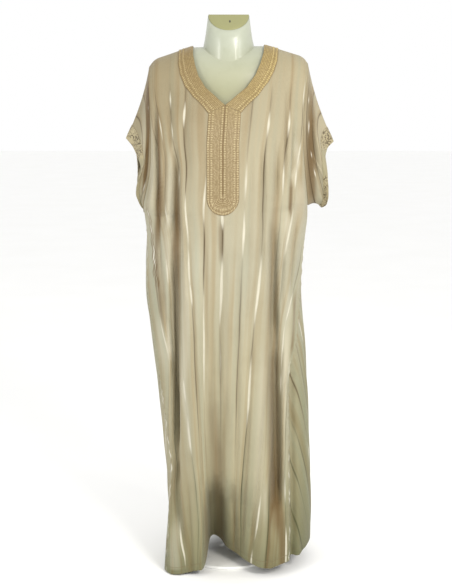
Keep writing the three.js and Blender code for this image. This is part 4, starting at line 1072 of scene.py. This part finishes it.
def neckBraid(side):
    outwards = 1 if side == "right" else -1
    along = np.linspace(0, 1, 300)[:, None]
    share = np.linspace(0, 1, 90)[None, :]
    table, length = alongTable(frontNeck, along)
    away = mix(table["inner"], table["outer"], share)
    drop = np.maximum(mix(table["innerDrop"], table["outerDrop"], share), 0.6)
    across = centreAt(dropToHeight(False, away, drop)) + outwards * np.maximum(0.2, away)
    width = braidCut["bandWidth"]
    relief = cordRelief(share * width + 0 * along, along * length + 0 * share, braidCut["bandBeads"], width)
    uv = np.stack([share * width / 1000 + 0 * along, along * length / 1000 + 0 * share], -1)
    return makeBraid("neck_braid_" + side, "neck_band_" + side, False, across, drop, relief, uv)


def backBraid():
    along = np.linspace(0, 1, 260)[:, None]
    share = np.linspace(0, 1, 70)[None, :]
    table, length = alongTable(backNeck, 1 - np.abs(2 * along - 1))
    away = mix(table["inner"], table["outer"], share)
    drop = np.maximum(mix(table["innerDrop"], table["outerDrop"], share), 0.6)
    across = np.where(along < 0.5, -away, away)
    width = braidCut["bandWidth"]
    run = along * length * 2 + 0 * share
    relief = cordRelief(share * width + 0 * along, run, braidCut["bandBeads"], width)
    uv = np.stack([share * width / 1000 + 0 * along, along * length / 500 + 0 * share], -1)
    return makeBraid("neck_braid_back", "neck_band_back", True, across, drop, relief, uv)


def bibBraid():
    # cords follow the bib's outline, by the distance to its sides or to its rounded end
    along = np.linspace(0, 1, 280)[:, None]
    share = np.linspace(0, 1, 150)[None, :]
    side = 2 * share - 1
    top = mix(garment["neckPoint"], garment["bibCorner"], np.abs(side)) + 0.5
    end = mix(garment["bibPoint"], garment["bibShoulder"], 1 - np.sqrt(1 - side ** 2))
    low = heightToDrop(False, 0, end)
    drop = mix(top, low, along)
    height = dropToHeight(False, 0, drop)
    across = centreAt(height) + side * garment["bibHalf"]
    toSide = garment["bibHalf"] * (1 - np.abs(side)) + 0 * along
    toEnd = (low - drop) * 0.82
    toEdge = -3 * np.log(np.exp(-toSide / 3) + np.exp(-toEnd / 3))
    run = np.where(toSide < toEnd, drop, side * 60)
    relief = cordRelief(np.maximum(0, toEdge), run, braidCut["bibBeads"], 200)
    slit = np.exp(-(side * garment["bibHalf"] / 0.8) ** 2) * smooth((height - 1010) / 12)
    relief = relief * (1 - slit) - 0.6 * slit
    uv = np.stack([toEdge / 1000, drop / 1000], -1)
    return makeBraid("bib_braid", "bib", False, across, drop, relief, uv)


braids = [neckBraid("left"), neckBraid("right"), backBraid(), bibBraid()]
print("braid made")

cuffLook = {
    "start": 0.81, "rows": 20, "rise": 1.1, "gather": 0.8, "gap": 0.2, "fade": 12,
    "plain": {"left": (960, 1128), "right": (1070, 1150)},
}


def makeCuff(side):
    # a narrow turned band round the cuff, gathered a little
    rounds = np.linspace(0, 2, 321)[:-1]
    alongs = np.linspace(cuffLook["start"], 1, cuffLook["rows"])
    along, round = np.meshgrid(alongs, rounds, indexing="ij")
    middle = sleevePoint(side, along, round)
    normals = gridNormals(middle, True)
    if (normals[..., 1] * np.where(round > 1, 1, -1)).sum() < 0:
        normals = -normals
    share = (along - cuffLook["start"]) / (1 - cuffLook["start"])
    gather = np.abs(np.sin(round * 92 + 1.6 * np.sin(round * 23) + share * 2))
    gather = gather * np.sin(math.pi * share) ** 0.6
    bottom = garment["layer"] / 2 + cuffLook["gap"]
    top = middle + normals * (bottom + cuffLook["rise"] + cuffLook["gather"] * gather)[..., None]
    # between its corners the front of the trim is turned in, and plain cloth shows
    low, high = cuffLook["plain"][side]
    level = middle[..., 2]
    turned = smooth((level - low) / cuffLook["fade"]) * smooth((high - level) / cuffLook["fade"])
    turned = turned * (round < 1)
    piece = shellPiece("cuff_band_" + side, top, middle + normals * bottom, cuffThread,
                       fields={"turned": turned}, closed=True)
    return tell(piece, "cuff_trim_" + side)


cuffs = {side: makeCuff(side) for side in ("left", "right")}

# the dress form: a general torso of ellipses below the shoulders, and a neck with a slanted cut
form = {
    "floor": 752, "neckTop": 1493, "capDrop": 42, "steps": 120, "neckHalf": 54,
    "neckRings": [(1470, 57), (1448, 60), (1430, 63)],
    "shoulderShares": [0, 0.08, 0.15, 0.23, 0.32, 0.41, 0.5, 0.59, 0.68, 0.75, 0.82, 0.87, 0.92, 0.955,
                       0.975],
    "height": [1292, 1240, 1190, 1150, 1090, 1020, 950, 870, 800, 760],
    "half": [187, 174, 164, 157, 143, 130, 140, 160, 168, 166],
    "front": [86, 97, 110, 112, 98, 86, 88, 92, 93, 90],
    "back": [82, 93, 93, 86, 77, 72, 82, 90, 92, 90],
}


def neckCut(depth):
    return form["neckTop"] + np.minimum(0, depth / form["neckHalf"]) * form["capDrop"]


def shoulderHeight(across, depth):
    # the form's top a little below the cloth over a place in plan
    reach = []
    for behind in (False, True):
        turn = turnAt(1380, across, behind)
        plan = planAt(1380, turn)
        side = np.cos(quarter * plan["share"])
        local = math.pi - turn if behind else turn
        bulge = np.maximum(0, (np.cos(local * plan["share"]) - side) / (1 - side))
        reach.append(plan["edge"] + (plan["depth"] - plan["edge"]) * bulge)
    behind = depth > 0
    dome = domeHeight(behind, across)
    share = clamp(np.abs(depth) / np.where(behind, reach[1], reach[0]), 0, 1)
    clearance = 1.75 + 0.16 * np.abs(depth) + 0.25 * np.maximum(0, np.abs(across) - 165)
    return ridgeHeight(across) - dome * (1 - np.sqrt(1 - share ** 2)) - clearance


def makeForm():
    angle = np.linspace(0, 2 * math.pi, form["steps"], endpoint=False)
    front = angle < math.pi
    radius = form["neckHalf"]
    depth = -radius * np.sin(angle)
    rings = [np.stack([radius * np.cos(angle), depth, neckCut(depth)], -1)]
    for index, (height, radius) in enumerate(form["neckRings"]):
        depth = -radius * np.sin(angle)
        rings.append(np.stack([radius * np.cos(angle), depth,
                               np.minimum(height, neckCut(depth) - 6 * index - 4)], -1))
    low = form["height"][0]
    for share in form["shoulderShares"]:
        across = np.cos(angle) * mix(67, form["half"][0], share)
        depth = -np.sin(angle) * mix(63, np.where(front, form["front"][0], form["back"][0]), share)
        field = shoulderHeight(across, depth)
        rings.append(np.stack([across, depth, low + (field - low) * (1 - share ** 5) ** 0.35], -1))
    heights = np.concatenate([[low], np.linspace(low, form["height"][-1], 60)[1:]])
    for height in heights:
        near = height + np.array([-20, -10, 0, 10, 20])
        half, fore, aft = (np.mean(np.interp(near, form["height"][::-1], form[key][::-1]))
                           for key in ("half", "front", "back"))
        rings.append(np.stack([half * np.cos(angle), -np.sin(angle) * np.where(front, fore, aft),
                               np.full(len(angle), height)], -1))
    rings.append(rings[-1] * [0.95, 0.95, 0] + [0, 0, form["floor"]])
    rings = np.array(rings)
    rings[..., 1] -= garment["standBack"]
    piece = loftPiece("form_shell", rings, creamPlastic)
    return tell(piece, "dress_form")


def makeCap():
    angle = np.linspace(0, math.pi, 61)
    rings = []
    for radius, lift in ((53, 0.4), (53, 2.2), (52.2, 2.9), (30, 2.9), (4, 2.9)):
        depth = -radius * np.sin(angle) - 0.4 - (53 - radius) * 0.4
        rings.append(np.stack([radius * np.cos(angle), depth, neckCut(depth) + lift], -1))
    rings = np.array(rings)
    rings[..., 1] -= garment["standBack"]
    piece = loftPiece("cap_plate", rings, oliveCap)
    return tell(piece, "neck_cap")


def makeCapMark():
    # a small oval hole in the cap's middle, its darkness drawn as painted shade on a shallow dark disc
    angle = np.linspace(0, 2 * math.pi, 32, endpoint=False)
    depth = -26 - 4.2 * np.sin(angle)
    rings = np.array([np.stack([3 + 2.1 * np.cos(angle), depth, neckCut(depth) + lift], -1)
                      for lift in (3.0, 3.3)])
    rings[..., 1] -= garment["standBack"]
    piece = loftPiece("cap_mark", rings, holeShade)
    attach(piece, "root")


makeForm()
makeCap()
makeCapMark()


# the stand's base: radius and height from its underside up to the post
baseProfile = [(143, 0), (145, 1.5), (145, 6), (143.6, 8.2), (141, 9), (30, 9), (16, 10), (12.5, 13)]
angle = np.linspace(0, 2 * math.pi, form["steps"], endpoint=False)
rings = np.array([np.stack([radius * np.cos(angle), radius * np.sin(angle), 0 * angle + height], -1)
                  for radius, height in baseProfile])
standBase = loftPiece("round_base", rings, whiteMetal)
tell(standBase, "stand_base")
bpy.data.objects["stand_post"].material_slots[0].material = whiteMetal
print("form and stand made")

# camera, floor and lights
view = {"place": (-0.007, -2.93, 1.25), "down": 9.65, "lens": 66.2}
camera = bpy.data.cameras.new("camera")
camera.lens = view["lens"]
camera.sensor_width = 36
cameraObject = bpy.data.objects.new("camera", camera)
cameraObject.location = view["place"]
cameraObject.rotation_euler = (math.radians(90 - view["down"]), 0, 0)
scene.collection.objects.link(cameraObject)
scene.camera = cameraObject

studio = {
    "world": 1.0, "floor": (253, 253, 252), "floorDull": (248, 248, 246), "floorHalf": 30000,
    "key": {"place": (1.5, -2.6, 2.6), "size": (0.9, 0.9), "power": 62, "colour": (1, 0.97, 0.92)},
    "fill": {"place": (-2.4, -2.2, 1.6), "size": (1.4, 1.8), "power": 10, "colour": (1, 0.98, 0.95)},
    "stripLeft": {"place": (-1.6, -1.7, 1.7), "size": (0.2, 0.8), "power": 9, "colour": (1, 1, 1)},
    "stripRight": {"place": (1.75, -1.5, 1.75), "size": (0.2, 0.8), "power": 6, "colour": (1, 1, 1)},
}
floorFinish = Finish("pale_floor", roughness=0.8)
mottle = floorFinish.noise(floorFinish.place(), 2)
floorFinish.set(baseColor=floorFinish.blend(mottle, linear(*studio["floor"]), linear(*studio["floorDull"])))
reach = studio["floorHalf"]
floor = makePiece("floor", [(-reach, -reach, 0), (reach, -reach, 0), (reach, reach, 0), (-reach, reach, 0)],
                  [np.array([[0, 1, 2, 3]])], floorFinish.material)
for name in ("key", "fill", "stripLeft", "stripRight"):
    spec = studio[name]
    light = bpy.data.lights.new(name, "AREA")
    light.shape = "RECTANGLE"
    light.size, light.size_y = spec["size"]
    light.energy = spec["power"]
    light.color = spec["colour"]
    lamp = bpy.data.objects.new(name, light)
    lamp.location = spec["place"]
    away = np.array([0, 0, 1.0]) - np.array(spec["place"])
    tilt = math.acos(-away[2] / np.linalg.norm(away))
    lamp.rotation_euler = (tilt, 0, math.atan2(away[1], away[0]) - quarter)
    scene.collection.objects.link(lamp)
world = bpy.data.worlds.new("studio")
world.use_nodes = True
world.node_tree.nodes["Background"].inputs[0].default_value = (1, 1, 1, 1)
world.node_tree.nodes["Background"].inputs[1].default_value = studio["world"]
scene.world = world
scene.view_settings.view_transform = "Standard"
print("studio ready")
